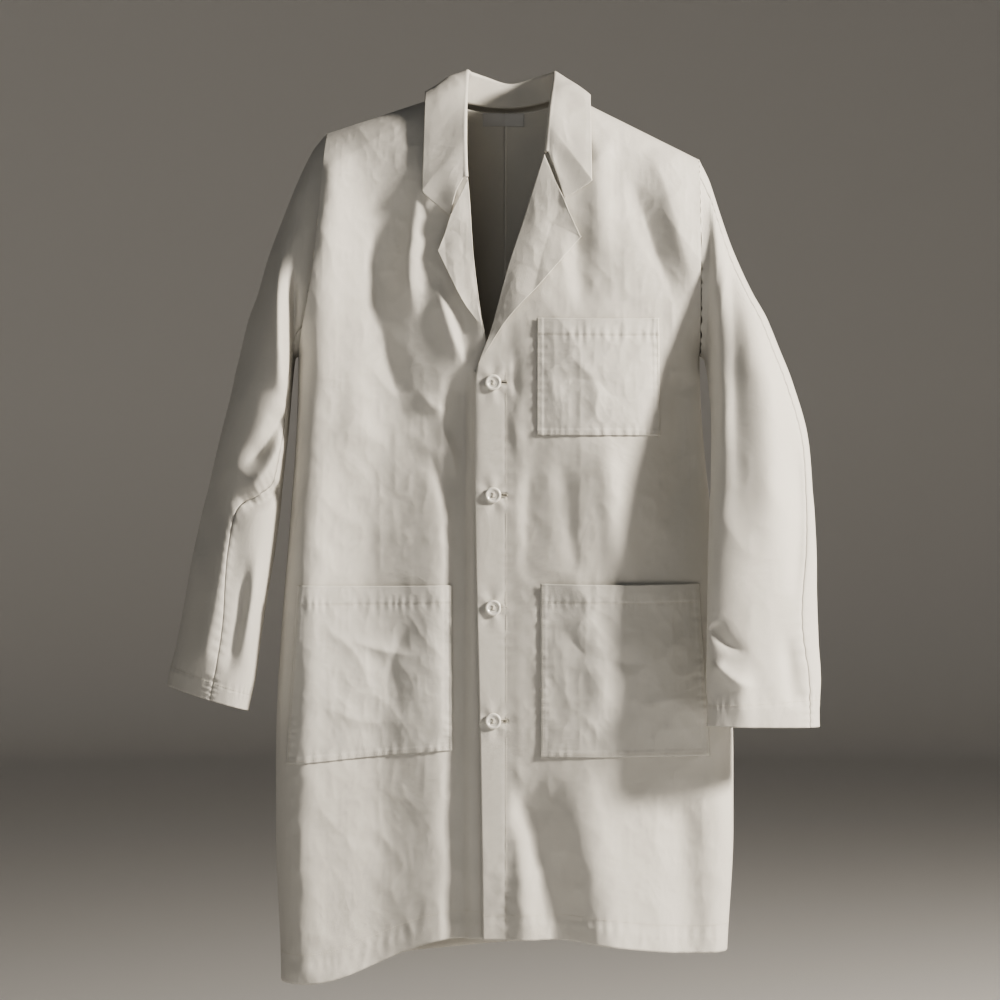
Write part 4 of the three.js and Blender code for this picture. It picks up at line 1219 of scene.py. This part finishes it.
@dataclass
class Collar:
    """The folded collar: an upper ply over an under ply."""

    wardrobe: Wardrobe
    fold: float = 3.4

    def guides(self) -> tuple[Track, Track, Track]:
        """Neck seam, crease and free edge, from the right gorge round to the left."""
        (rx, rz), (lx, lz) = ROLL_TOP["right"], ROLL_TOP["left"]
        out_right, out_left = RIGHT.collar_shoulder[0], LEFT.collar_shoulder[0]

        def on_front(x: float, z: float, lift: float) -> tuple[float, float, float]:
            """A point off the front cloth."""
            return x, float(Body.front_y(np.array(float(x)), np.array(float(z)))) - lift, z

        neck_right = float(Body.shoulder_z(np.array(-NECK_HALF)))
        neck_left = float(Body.shoulder_z(np.array(NECK_HALF)))
        seam = Track((0, *on_front(rx - 3, rz + 3, 1)), (0.12, *on_front(-52, -30, -4)),
                     (0.25, 6 - NECK_HALF, -4, neck_right + 6),
                     (0.36, -50, 33, 9), (0.5, 4, 40, 3), (0.64, 54, 33, 11),
                     (0.75, NECK_HALF - 6, -4, neck_left + 6),
                     (0.88, *on_front(50, -13, -4)), (1, *on_front(lx + 3, lz + 4, 1)))
        crease = Track((0, *on_front(rx, rz, 8)), (0.12, *on_front(rx - 1, -28, 9)), (0.25, rx + 1, 2, 39),
                       (0.31, -38, 24, 43),
                       (0.36, -26, 38, 41), (0.5, 7, 50, 33), (0.64, 40, 40, 41), (0.69, 52, 24, 42),
                       (0.75, 56, 4, 39),
                       (0.88, *on_front(50, -10, 9)), (1, *on_front(lx, lz, 8)))
        edge = Track((0, *on_front(rx - 20, rz - 44, 5)), (0.04, *on_front(rx - 38, rz - 30, 6)),
                     (0.075, *on_front(rx - 51.5, rz - 18.5, 6)),
                     (0.085, *on_front(rx - 52.5, rz - 14, 6)), (0.14, *on_front(-out_right - 2, -50, 9)),
                     (0.2, -out_right - 1, -38, 3),
                     (0.25, -out_right, -4, 17), (0.36, -68, 48, 6), (0.5, 4, 60, -14), (0.64, 72, 48, 4),
                     (0.75, out_left, -4, 14),
                     (0.8, out_left + 1, -38, -1), (0.86, *on_front(out_left + 1, -44, 9)),
                     (0.925, *on_front(lx + 54.5, lz - 31, 7)),
                     (0.935, *on_front(lx + 54, lz - 34.5, 7)), (0.965, *on_front(lx + 38, lz - 45, 6)),
                     (1, *on_front(lx + 22, lz - 54, 5)))
        return seam, crease, edge

    def ply(self, name: str, node: str, inset: float) -> Sewn:
        """One ply, set in from the outer face.

        Args:
            name: the piece's name.
            node: the node that it stands for.
            inset: how far it lies inside the upper ply's face.

        Returns:
            The piece.
        """
        w = np.linspace(0, 1, 300)
        seam, crease, edge = (track(w) for track in self.guides())
        along = np.gradient(crease, axis=0)
        along /= np.linalg.norm(along, axis=1, keepdims=True)
        down = (seam + edge) / 2 - crease
        down -= (down * along).sum(1, keepdims=True) * along
        down /= np.linalg.norm(down, axis=1, keepdims=True)
        out = np.cross(along, down)
        rings = []
        angles = np.linspace(math.pi, 0, 13)
        rim = [crease + down * self.fold * (1 - math.sin(a)) + out * self.fold * math.cos(a) for a in angles]
        rings += [mix(seam, rim[0], k) for k in np.linspace(0, 1, 12)[:-1]]
        rings += rim
        fall = np.linspace(0, 1, 44)[1:]
        for k in fall:
            point = mix(rim[-1], edge, k)
            bulge = 2.4 * math.sin(math.pi * k)
            lumps = 2.2 * field_noise(w * 420, 0 * w + k * 50, 38, 83) + 0.7 * crumple(w * 420, 0 * w + k * 50,
                                                                                       26, 87)
            lumps = lumps * math.sin(math.pi * min(k * 1.2, 1))
            normal = np.cross(along, edge - rim[-1])
            normal /= np.linalg.norm(normal, axis=1, keepdims=True)
            rings.append(point + normal * (bulge + lumps)[:, None])
        grid = np.stack(rings, axis=1)
        sign = -1
        if inset:
            grid = grid - grid_normals(grid, sign) * inset
        piece = sew(name, grid, sign, self.wardrobe.cotton, thickness=0.7)
        piece.settle([node], "folded", (0.11, 0.47))
        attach(piece.obj, "coat_body")
        return piece

    def build(self) -> None:
        """Make both plies."""
        self.ply("upper_collar_cloth", "upper_collar", 0.0)
        self.ply("under_collar_cloth", "under_collar", 1.1)


@dataclass
class Pocket:
    """A patch pocket: hemmed mouth, turned edges, sewn sides and bottom."""

    name: str
    node: str
    mouth_width: float
    foot_width: float
    hem: float
    gape: float
    creases: tuple[Fold, ...]
    seed: int
    depth: Callable
    slant: float = 0.0

    def build(self, wardrobe: Wardrobe, stitches: Stitching) -> Sewn:
        """Make the pocket.

        Args:
            wardrobe: the finishes.
            stitches: the body's stitching.

        Returns:
            The piece.
        """
        lo, hi = low(self.node), high(self.node)
        inner = lo.x if lo.x > 0 else hi.x
        sign = 1 if lo.x > 0 else -1
        height = hi.z - lo.z
        u = np.linspace(0, 1, 130)[None, :]
        t = np.linspace(0, 1, 130)[:, None]
        width = mix(self.mouth_width, self.foot_width, t)
        x = inner + sign * u * width
        z = hi.z - t * height - 1.2 * np.sin(math.pi * u) * (1 - t) - self.slant * t * (u - 0.5)
        across = np.minimum(u, 1 - u) * width
        upward = (1 - t) * height
        stand = self.gape * np.sin(math.pi * u) ** 0.7 * (1 - t**2.2)
        body = 1.3 * crumple(x, z, 46, self.seed) + 1.0 * field_noise(x, z, 60, self.seed + 2)
        body += lift_of(self.creases, x, z)
        body *= smooth(0, 22, across) * smooth(0, 22, upward) * mix(1.0,
                                                                    smooth(-4, self.hem + 8, height - upward), 0.7)
        edges = pucker(z, across - 3, 0.5, 12, 8, self.seed + 5) + pucker(x, upward - 3, 0.55, 11, 9, self.seed + 6)
        mouth = pucker(x, t * height - self.hem, 0.6, 10, 8, self.seed + 7)
        doubled = 0.6 * smooth(self.hem + 1, self.hem - 1, t * height)
        doubled = doubled + 0.5 * smooth(8, 6.5, across) + 0.5 * smooth(8, 6.5, upward)
        groove = 0.4 * np.exp(-((t * height - self.hem) / 1.2) ** 2)
        lift = stand + body + edges * 0.8 + mouth + doubled - groove
        y = self.depth(x, z) - 0.6 - PLY - np.maximum(lift, 0.0)
        piece = sew(self.name, np.stack([x, y, z], 2), -1 if sign > 0 else 1, wardrobe.pocket, thickness=0.7)
        piece.settle([self.node], "stretched", (max(self.mouth_width, self.foot_width) * MM, height * MM))
        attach(piece.obj, "coat_body")
        near = 2
        stitches.run(*piece.column(near))
        stitches.run(*piece.column(-1 - near))
        stitches.run(*piece.row(-1 - near))
        row = int(round(self.hem / height * 129))
        stitches.run(*piece.row(row))
        return piece


@dataclass(frozen=True)
class SleeveHang:
    """How a sleeve hangs from its armhole."""

    side: Side
    key: str
    inner: Track
    width: tuple[tuple[float, float, float], ...]
    depth: Track
    seam: Track
    back_seam: float
    folds: tuple[Fold, ...]
    turn: float = 0.0


@dataclass
class Sleeve:
    """A two-piece sleeve, set into its armhole and hemmed at the cuff."""

    hang: SleeveHang
    wardrobe: Wardrobe
    columns: int = 96
    rows: int = 300

    def place(self, angle: Array, t: Array) -> Array:
        """Points of the sleeve.

        Args:
            angle: 0 at the outer edge, growing over the front, in radians.
            t: 0 at the armhole, 1 at the cuff.

        Returns:
            Points, one more axis.
        """
        hang = self.hang
        side = hang.side
        (tx, tz), (ax, az) = side.tip, side.armpit
        drop, clear = np.moveaxis(hang.inner(t), -1, 0)
        width, rise = np.moveaxis(Track((0, tx - ax, tz - az), *hang.width)(t), -1, 0)
        forward, half = np.moveaxis(hang.depth(t), -1, 0)
        share = (1 + np.cos(angle)) / 2
        z = az - drop + rise * share
        x = Body.side_x(side, np.minimum(az - drop, az)) + clear + width * share
        hole = outer_edge(side)(ARMPIT_SHARE * (1 - share))
        hx, hz = np.abs(hole[..., 0]), hole[..., 1]
        signed = side.sign * hx
        is_front = np.sin(angle) >= 0
        start = np.where(is_front, Body.plain_y(Face.FRONT, signed, hz), Body.plain_y(Face.BACK, signed, hz))
        start = np.where(np.abs(np.sin(angle)) < 1e-6, 0.0, start)
        near = smooth(0, 0.04, t)
        tube = forward - half * np.sin(angle) + hang.turn * (share - 0.4) * smooth(0.05, 0.35, t)
        px, pz = mix(hx + 0.6, x, near), mix(hz, z, near)
        py = mix(start, tube, smooth(0, 0.15, t))
        sx = side.sign * px
        face = np.sin(angle)
        folds = FOLD_DEPTH * lift_of(hang.folds, sx, pz)
        folds = np.where(face >= 0, folds, -0.55 * folds) * smooth(0.0, 0.5, np.abs(face))
        small = 1.2 * crumple(sx, pz + 700 * (face < 0), 60, 51) + 1.5 * field_noise(sx,
                                                                                     pz * 0.5 + 900 * (face < 0), 60, 57)
        small = small * smooth(0.0, 0.5, np.abs(face))
        lift = (folds + small) * smooth(0.0, 0.1, t) * mix(1.0, 0.6, smooth(0.95, 1.0, t))
        py = py - lift * np.sign(face)
        wobble = 2.0 * field_noise(pz, 0 * pz, 45, 71) * smooth(0.1, 0.3, t) * np.cos(angle) ** 3
        cap = 1.6 * np.exp(-((t / 0.02) ** 2)) * pucker(angle * 100, t * 500, 1.0, 14, 20, 91)
        return np.stack([sx + side.sign * (wobble + cap), py, pz], axis=-1)

    def piece(self, name: str, node: str, from_seam: Array, to_seam: Array, flat: tuple[float, float]) -> Sewn:
        """One of the sleeve's two pieces.

        Args:
            name: the piece's name.
            node: the node that it stands for.
            from_seam: the first seam's angle in degrees at each row.
            to_seam: the second seam's angle.
            flat: width and length of its cut, in metres.

        Returns:
            The piece.
        """
        t = np.linspace(0, 1, self.rows) ** 1.05
        u = np.linspace(0, 1, self.columns)[None, :]
        start, end = np.radians(from_seam(t))[:, None], np.radians(to_seam(t))[:, None]
        gap = math.radians(0.15)
        angle = mix(start + gap, end - gap, u)
        tt = np.repeat(t[:, None], self.columns, axis=1)
        grid = self.place(angle, tt)
        sign = self.hang.side.sign
        normals = grid_normals(grid, sign)
        length = 670 * (1 - tt)
        rise = length - CUFF_TURN
        along = angle * 55
        lift = 0.6 * smooth(1, -1, rise) - 0.5 * np.exp(-((rise + 2) / 1.6) ** 2)
        lift += pucker(along, rise, 0.8, 12, 10, 15) + pucker(along, length, 0.4, 15, 7, 16)
        seam_gap = np.minimum(u, 1 - u) * np.radians(150) * 55
        lift += -0.8 * np.exp(-((seam_gap / 1.8) ** 2)) + pucker(670 * tt, seam_gap, 0.7, 17, 7, 19)
        grid = grid + normals * lift[..., None]
        piece = sew(name, grid, sign, self.wardrobe.cotton)
        piece.settle([node], "hung", flat)
        return piece

    def build(self, stitches: Stitching) -> None:
        """Make both pieces, sew the cuff and the seam, and bake their transforms.

        Args:
            stitches: this sleeve's stitching.
        """
        hang = self.hang
        key = hang.key

        def front(t: Array) -> Array:
            """The front-facing seam's angle."""
            return hang.seam(t)[..., 0]

        def back(t: Array) -> Array:
            """The far seam's angle."""
            return 0 * t + hang.back_seam

        if hang.back_seam < 0:
            top = self.piece(f"{key}_top_sleeve_cloth", f"{key}_top_sleeve", back, front, (0.26, 0.72))
            under = self.piece(f"{key}_under_sleeve_cloth", f"{key}_under_sleeve", front,
                               lambda t: back(t) + 360, (0.2, 0.6))
        else:
            top = self.piece(f"{key}_top_sleeve_cloth", f"{key}_top_sleeve", front, back, (0.26, 0.72))
            under = self.piece(f"{key}_under_sleeve_cloth", f"{key}_under_sleeve", lambda t: back(t) - 360,
                               front, (0.2, 0.72))
        row = int(self.rows * (1 - CUFF_TURN / 670))
        for piece in (top, under):
            stitches.run(*piece.row(row))
            self.bend(piece.obj)
        sewn = stitches.finish(self.wardrobe.thread)
        self.bend(sewn)

    def bend(self, obj: bpy.types.Object) -> None:
        """Bake a piece's transform into its mesh."""
        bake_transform(obj)


def sleeve_hangs() -> tuple[SleeveHang, SleeveHang]:
    """The right sleeve, outside the side seam, and the left, forward of it."""
    right = SleeveHang(
        RIGHT, "right",
        Track((0, 0, 0.6), (0.05, 5, 5), (0.15, 33, 7), (0.28, 83, 8), (0.5, 203, 13), (0.7, 290, 19),
              (0.85, 355, 24), (1, 411, 30)),
        ((0.15, 6, 207), (0.28, 37, 164), (0.5, 64, 127), (0.7, 82, 76), (0.85, 91, 42), (1, 96, 28)),
        Track((0, 0, 48), (0.15, -4, 54), (0.4, -14, 50), (0.7, -22, 43), (1, -26, 38)),
        Track((0, 140), (0.3, 150), (0.42, 140), (0.5, 112), (0.58, 84), (0.66, 84), (0.8, 95), (1, 95)), -110,
                       RIGHT_SLEEVE_FOLDS, 26)
    left = SleeveHang(
        LEFT, "left",
        Track((0, 0, 0.6), (0.05, 6, 6), (0.15, 30, 8), (0.3, 88, 5), (0.5, 188, -9), (0.75, 308, -27),
              (1, 423, -38)),
        ((0.15, 26, 162), (0.3, 68, 125), (0.5, 112, 110), (0.65, 124, 72), (0.8, 128, 34), (1, 133, -4)),
        Track((0, 0, 48), (0.08, -8, 50), (0.15, -22, 50), (0.3, -60, 45), (0.5, -94, 38), (0.75, -106, 32),
              (1, -106, 29)),
        Track((0, 40), (0.5, 30), (0.65, 34), (0.8, 46), (0.92, 38), (1, 36)), 250, LEFT_SLEEVE_FOLDS, 40)
    return right, left


@dataclass
class Button:
    """A four-hole button with a raised rim, and the thread that holds it."""

    number: int
    wardrobe: Wardrobe
    segments: int = 72

    def profile(self, radius: float, height: float) -> list[tuple[float, float]]:
        """Radius and height from the middle of the face out, round the rim and to the back."""
        face = [(0.0, 0.66), (0.38, 0.66), (0.42, 0.64), (0.45, 0.70), (0.49, 0.74), (0.53, 0.70), (0.56, 0.66),
                (0.60, 0.72),
                (0.66, 0.90), (0.74, 0.98), (0.82, 1.0), (0.90, 0.95), (0.96, 0.8), (0.99, 0.62), (1.0, 0.45),
                (0.97, 0.25), (0.9, 0.08),
                (0.78, 0.0), (0.0, 0.0)]
        return [(r * radius, h * height) for r, h in face]

    def build(self) -> None:
        """Make the button and its thread."""
        node = f"button_{self.number}"
        lo, hi = low(node), high(node)
        radius, height = (hi.x - lo.x) / 2, hi.y - lo.y
        cx, cz = (lo.x + hi.x) / 2, (lo.z + hi.z) / 2
        rows = []
        for r, h in self.profile(radius, height):
            a = np.linspace(0, 2 * math.pi, self.segments, endpoint=False)
            rows.append(np.stack([cx + max(r, 0.02) * np.cos(a), 0 * a + hi.y - h,
                                  cz + max(r, 0.02) * np.sin(a)], axis=1))
        points = np.concatenate(rows)
        facing_out = [0, 3, 2, 1]
        obj = new_object(f"{node}_resin", points, ring_faces(len(rows), self.segments)[:, facing_out])
        self._close(obj)
        self._drill(obj, cx, hi.y, cz, height)
        obj.data.materials.append(self.wardrobe.resin)
        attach(obj, node)
        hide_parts(node)
        self._thread(cx, lo.y + height * 0.30, cz, node)

    @staticmethod
    def _close(obj: bpy.types.Object) -> None:
        """Merge the middle rings and turn the faces out."""
        bm = bmesh.new()
        bm.from_mesh(obj.data)
        bmesh.ops.remove_doubles(bm, verts=bm.verts, dist=0.00006)
        bmesh.ops.recalc_face_normals(bm, faces=bm.faces)
        bm.to_mesh(obj.data)
        bm.free()

    def _drill(self, obj: bpy.types.Object, cx: float, back: float, cz: float, height: float) -> None:
        """Cut the four sewing holes."""
        bm = bmesh.new()
        for dx in (-SEWING_HOLE, SEWING_HOLE):
            for dz in (-SEWING_HOLE, SEWING_HOLE):
                made = bmesh.ops.create_cone(bm, cap_ends=True, segments=20, radius1=HOLE_RADIUS * MM,
                                             radius2=HOLE_RADIUS * MM, depth=(height + 4) * MM)
                bmesh.ops.rotate(bm, verts=made["verts"], cent=(0, 0, 0), matrix=Matrix.Rotation(math.pi / 2, 3, "X"))
                bmesh.ops.translate(bm, verts=made["verts"],
                                    vec=((cx + dx) * MM, (back - height / 2) * MM, (cz + dz) * MM))
        mesh = bpy.data.meshes.new("drills")
        bm.to_mesh(mesh)
        bm.free()
        drill = bpy.data.objects.new("drills", mesh)
        bpy.context.scene.collection.objects.link(drill)
        cut = obj.modifiers.new("holes", "BOOLEAN")
        cut.object = drill
        cut.solver = "EXACT"
        done = bpy.data.meshes.new_from_object(obj.evaluated_get(bpy.context.evaluated_depsgraph_get()))
        obj.modifiers.clear()
        obj.data = done
        for polygon in obj.data.polygons:
            polygon.use_smooth = True
        obj.data.set_sharp_from_angle(angle=math.radians(38))
        bpy.data.objects.remove(drill)

    def _thread(self, cx: float, front: float, cz: float, node: str) -> None:
        """Wind the thread through the holes, crossing on the face, with its shank behind."""
        thread_node = f"button_thread_{self.number}"
        shank_end = high(thread_node).y
        strands = []
        for shift in (-0.35, 0.0, 0.35):
            for dz in (-SEWING_HOLE, SEWING_HOLE):
                strands.append([(cx - SEWING_HOLE, front, cz + dz + shift),
                                (cx + SEWING_HOLE, front, cz + dz + shift)])
        for shift in (-0.3, 0.3):
            strands.append([(cx - SEWING_HOLE, front - 0.3, cz - SEWING_HOLE + shift),
                            (cx + SEWING_HOLE, front - 0.3, cz + SEWING_HOLE + shift)])
        tubes = [self._tube([Vector(a), Vector(b)], 0.42) for a, b in strands]
        tubes += [self._tube([Vector((cx + dx, front, cz + dz)), Vector((cx + dx * 0.6, front + 4.4, cz + dz * 0.6)),
                              Vector((cx, front + 5.4, cz)), Vector((cx, shank_end, cz))], 0.5)
                  for dx in (-SEWING_HOLE, SEWING_HOLE) for dz in (-SEWING_HOLE, SEWING_HOLE)]
        offset, points, faces = 0, [], []
        for p, f in tubes:
            points.append(p)
            faces.append(f + offset)
            offset += len(p)
        obj = new_object(f"{node}_thread_strands", np.concatenate(points), np.concatenate(faces))
        obj.data.materials.append(self.wardrobe.thread)
        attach(obj, node)
        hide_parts(thread_node)

    @staticmethod
    def _tube(path: Sequence[Vector], radius: float) -> tuple[Array, Array]:
        """A round strand through points, closed at its ends with narrow tips."""
        line = np.array([tuple(p) for p in path], float)
        first, last = line[0] - (line[1] - line[0]) * 0.02, line[-1] + (line[-1] - line[-2]) * 0.02
        line = np.vstack([first, line, last])
        sizes = np.array([0.3] + [1.0] * (len(line) - 2) + [0.3]) * radius
        way = np.gradient(line, axis=0)
        way /= np.linalg.norm(way, axis=1, keepdims=True)
        side = np.cross(way, np.array([0.3, 0.2, 0.93]))
        side /= np.linalg.norm(side, axis=1, keepdims=True)
        up = np.cross(way, side)
        n = 8
        rings = [line + (side * math.cos(a) + up * math.sin(a)) * sizes[:, None] for a in np.linspace(0,
                                                                                                      2 * math.pi, n, endpoint=False)]
        points = np.stack(rings, axis=1).reshape(-1, 3)
        quads = ring_faces(len(line), n).tolist()
        for base in (0, (len(line) - 1) * n):
            quads += [[base, base + 1, base + 2, base + 3], [base, base + 3, base + 4, base + 7],
                      [base + 4, base + 5, base + 6, base + 7]]
        return points, np.array(quads)


def buttonhole_binding(wardrobe: Wardrobe) -> bpy.types.Object:
    """Close satin stitches round each slit of the left front.

    Args:
        wardrobe: the finishes.

    Returns:
        The object that holds all four bindings.
    """
    binding = Stitching("buttonhole_stitches", pitch=0.75, length=0.7, radius=0.55)
    start = CENTRE_X - BUTTONHOLE["reach"]
    for height in button_heights():
        a = np.linspace(0, 2 * math.pi, 90)
        reach = BUTTONHOLE["length"] / 2 + 0.4
        x = start + BUTTONHOLE["length"] / 2 + np.sign(np.cos(a)) * np.abs(np.cos(a)) ** 0.6 * reach
        z = height + np.sign(np.sin(a)) * np.abs(np.sin(a)) ** 0.5 * 1.5
        y = Body.front_y(x, z) - 0.1
        binding.run(np.stack([x, y, z], axis=1), np.tile([0.0, -1.0, 0.0], (90, 1)))
    return binding.finish(wardrobe.thread)


def neck_label(wardrobe: Wardrobe) -> None:
    """A blank woven label below the back neck seam."""
    lo, hi = low("neck_label"), high("neck_label")
    u = np.linspace(0, 1, 50)[None, :]
    t = np.linspace(0, 1, 20)[:, None]
    x = mix(lo.x, hi.x, u) + 0 * t
    z = mix(hi.z, lo.z, t) + 0.6 * np.sin(math.pi * u) * t
    y = Body.back_y(x, z) - PLY - 1.0 - 0.5 * np.sin(math.pi * u) * np.sin(math.pi * t)
    piece = sew("neck_label_cloth", np.stack([x, y, z], 2), -1, wardrobe.label, thickness=0.35)
    piece.settle(["neck_label"], "stretched", (0.049, 0.015), slot="woven_label")
    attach(piece.obj, "coat_body")


# ---- Studio -------------------------------------------------------------


def studio() -> None:
    """A pale round floor that curves up all round, and soft light from the upper right."""
    floor_z = CAD_BOUNDS[0][2] - 0.24
    flat, curve, top = 6.0, 1.2, 5.0
    bend = [(flat + curve * math.sin(a), curve * (1 - math.cos(a))) for a in np.linspace(0, math.pi / 2, 16)]
    rows = [(0.01, 0.0), *bend, (flat + curve, top)]
    turns = np.linspace(0, 2 * math.pi, 96, endpoint=False)
    points = np.array([(r * math.cos(a), r * math.sin(a), floor_z + h) for r, h in rows for a in turns]) / MM
    sweep = new_object("studio_sweep", points, ring_faces(len(rows), len(turns)))
    paint = bpy.data.materials.new("studio_paper")
    paint.use_nodes = True
    shader = paint.node_tree.nodes["Principled BSDF"]
    shader.inputs["Base Color"].default_value = (0.72, 0.72, 0.72, 1)
    shader.inputs["Roughness"].default_value = 0.9
    sweep.data.materials.append(paint)
    area_light("key_light", (2.7, -1.15, 0.95), 0.4, 150, (1.0, 0.92, 0.81))
    area_light("fill_light", (-0.9, -3.4, 0.5), 1.6, 8, (0.9, 0.95, 1.0))
    bpy.context.scene.view_settings.look = "AgX - High Contrast"
    world = bpy.data.worlds.new("studio_air")
    bpy.context.scene.world = world
    world.use_nodes = True
    world.node_tree.nodes["Background"].inputs["Color"].default_value = (1.0, 0.97, 0.93, 1)
    world.node_tree.nodes["Background"].inputs["Strength"].default_value = 0.03


def area_light(name: str, place: tuple[float, float, float], size: float, power: float,
               colour: tuple[float, float, float]) -> None:
    """A square light that looks at the coat's chest.

    Args:
        name: its name.
        place: where it stands, in metres.
        size: its side.
        power: its watts.
        colour: its tint.
    """
    data = bpy.data.lights.new(name, "AREA")
    data.size = size
    data.energy = power
    data.color = colour
    lamp = bpy.data.objects.new(name, data)
    lamp.location = place
    lamp.visible_camera = False
    lamp.rotation_euler = (Vector((0, 0, -0.45)) - Vector(place)).to_track_quat("-Z", "Y").to_euler()
    bpy.context.scene.collection.objects.link(lamp)


def hem_row(rows: int) -> int:
    """The grid row that the hem's stitches run along."""
    return int(rows * (1 - (HEM_TURN - 2) / HEM_STITCH_REACH))


def camera() -> None:
    """A long lens, level with the coat's middle."""
    data = bpy.data.cameras.new("camera")
    data.sensor_width = 36
    distance, across, plane_y = 3.6, 1.15, -0.06
    data.lens = data.sensor_width * distance / across
    eye = bpy.data.objects.new("camera", data)
    middle = -0.46
    eye.location = (-0.006, plane_y - distance, middle)
    eye.rotation_euler = (math.pi / 2, 0, 0)
    bpy.context.scene.collection.objects.link(eye)
    bpy.context.scene.camera = eye


def main() -> None:
    """Build the coat piece by piece."""
    logging.basicConfig(level=logging.INFO, format="%(message)s")
    wardrobe = Wardrobe()
    camera()
    studio()
    body_stitches = Stitching("body_stitches")
    corner_stitches = Stitching("left_front_stitches")
    fronts = Fronts(wardrobe).build()
    LOG.info("fronts and facings")
    body_stitches.run(*fronts["right"].row(hem_row(Fronts.rows)))
    corner_stitches.run(*fronts["left"].row(hem_row(Fronts.rows)))
    panels = Back(wardrobe).build()
    for panel in panels:
        body_stitches.run(*panel.row(hem_row(Back.rows)))
    LOG.info("back panels")
    z = np.linspace(V_POINT_Z - 4, HEM_MIDDLE_Z + 4, 300)
    x = np.full(len(z), CENTRE_X + OVERLAP_HALF - 3)
    corner_stitches.run(np.stack([x, Body.front_y(x, z) + 0.3, z], 1), np.tile([0.0, -1.0, 0.0], (len(z), 1)))
    Lapels(wardrobe).build()
    LOG.info("lapels")
    Collar(wardrobe).build()
    LOG.info("collar")
    pockets = (
        Pocket("chest_pocket_cloth", "chest_pocket", 141, 143, 19, 2.2,
               (Fold(((70, -290), (105, -330), (100, -372)), 2.4, 9, 9, 1.6),
                Fold(((60, -345), (96, -322), (150, -350)), -2, 8, 8, 1.6)),
               101, Body.front_y),
        Pocket("left_pocket_cloth", "left_pocket", 184, 196, 21, 4.5,
               (Fold(((90, -580), (110, -660), (100, -730)), 3, 16, 14),
                Fold(((60, -600), (100, -640), (170, -650)), -2.5, 10, 10, 1.6)),
               111, Body.front_y),
        Pocket("right_pocket_cloth", "right_pocket", 178, 192, 21, 4.0,
               (Fold(((-178, -622), (-140, -634), (-98, -640)), 3.4, 7, 7, 1.4),
                Fold(((-214, -600), (-170, -640), (-150, -700)), 2.6, 10, 9, 1.5),
                Fold(((-100, -585), (-130, -650), (-120, -720)), -3, 12, 10, 1.6),
                Fold(((-220, -690), (-160, -716), (-100, -706)), 2.2, 8, 9, 1.5)),
               121, Body.under_y, 17),
    )
    for pocket in pockets:
        pocket.build(wardrobe, body_stitches)
        LOG.info(pocket.name)
    for hang in sleeve_hangs():
        Sleeve(hang, wardrobe).build(Stitching(f"{hang.key}_cuff_stitches"))
        LOG.info("%s sleeve", hang.key)
    for number in range(1, 5):
        Button(number, wardrobe).build()
    LOG.info("buttons")
    neck_label(wardrobe)
    blend_corner(buttonhole_binding(wardrobe))
    blend_corner(corner_stitches.finish(wardrobe.thread))
    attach(body_stitches.finish(wardrobe.thread), "coat_body")
    LOG.info("label and stitching")


if __name__ == "__main__":
    main()
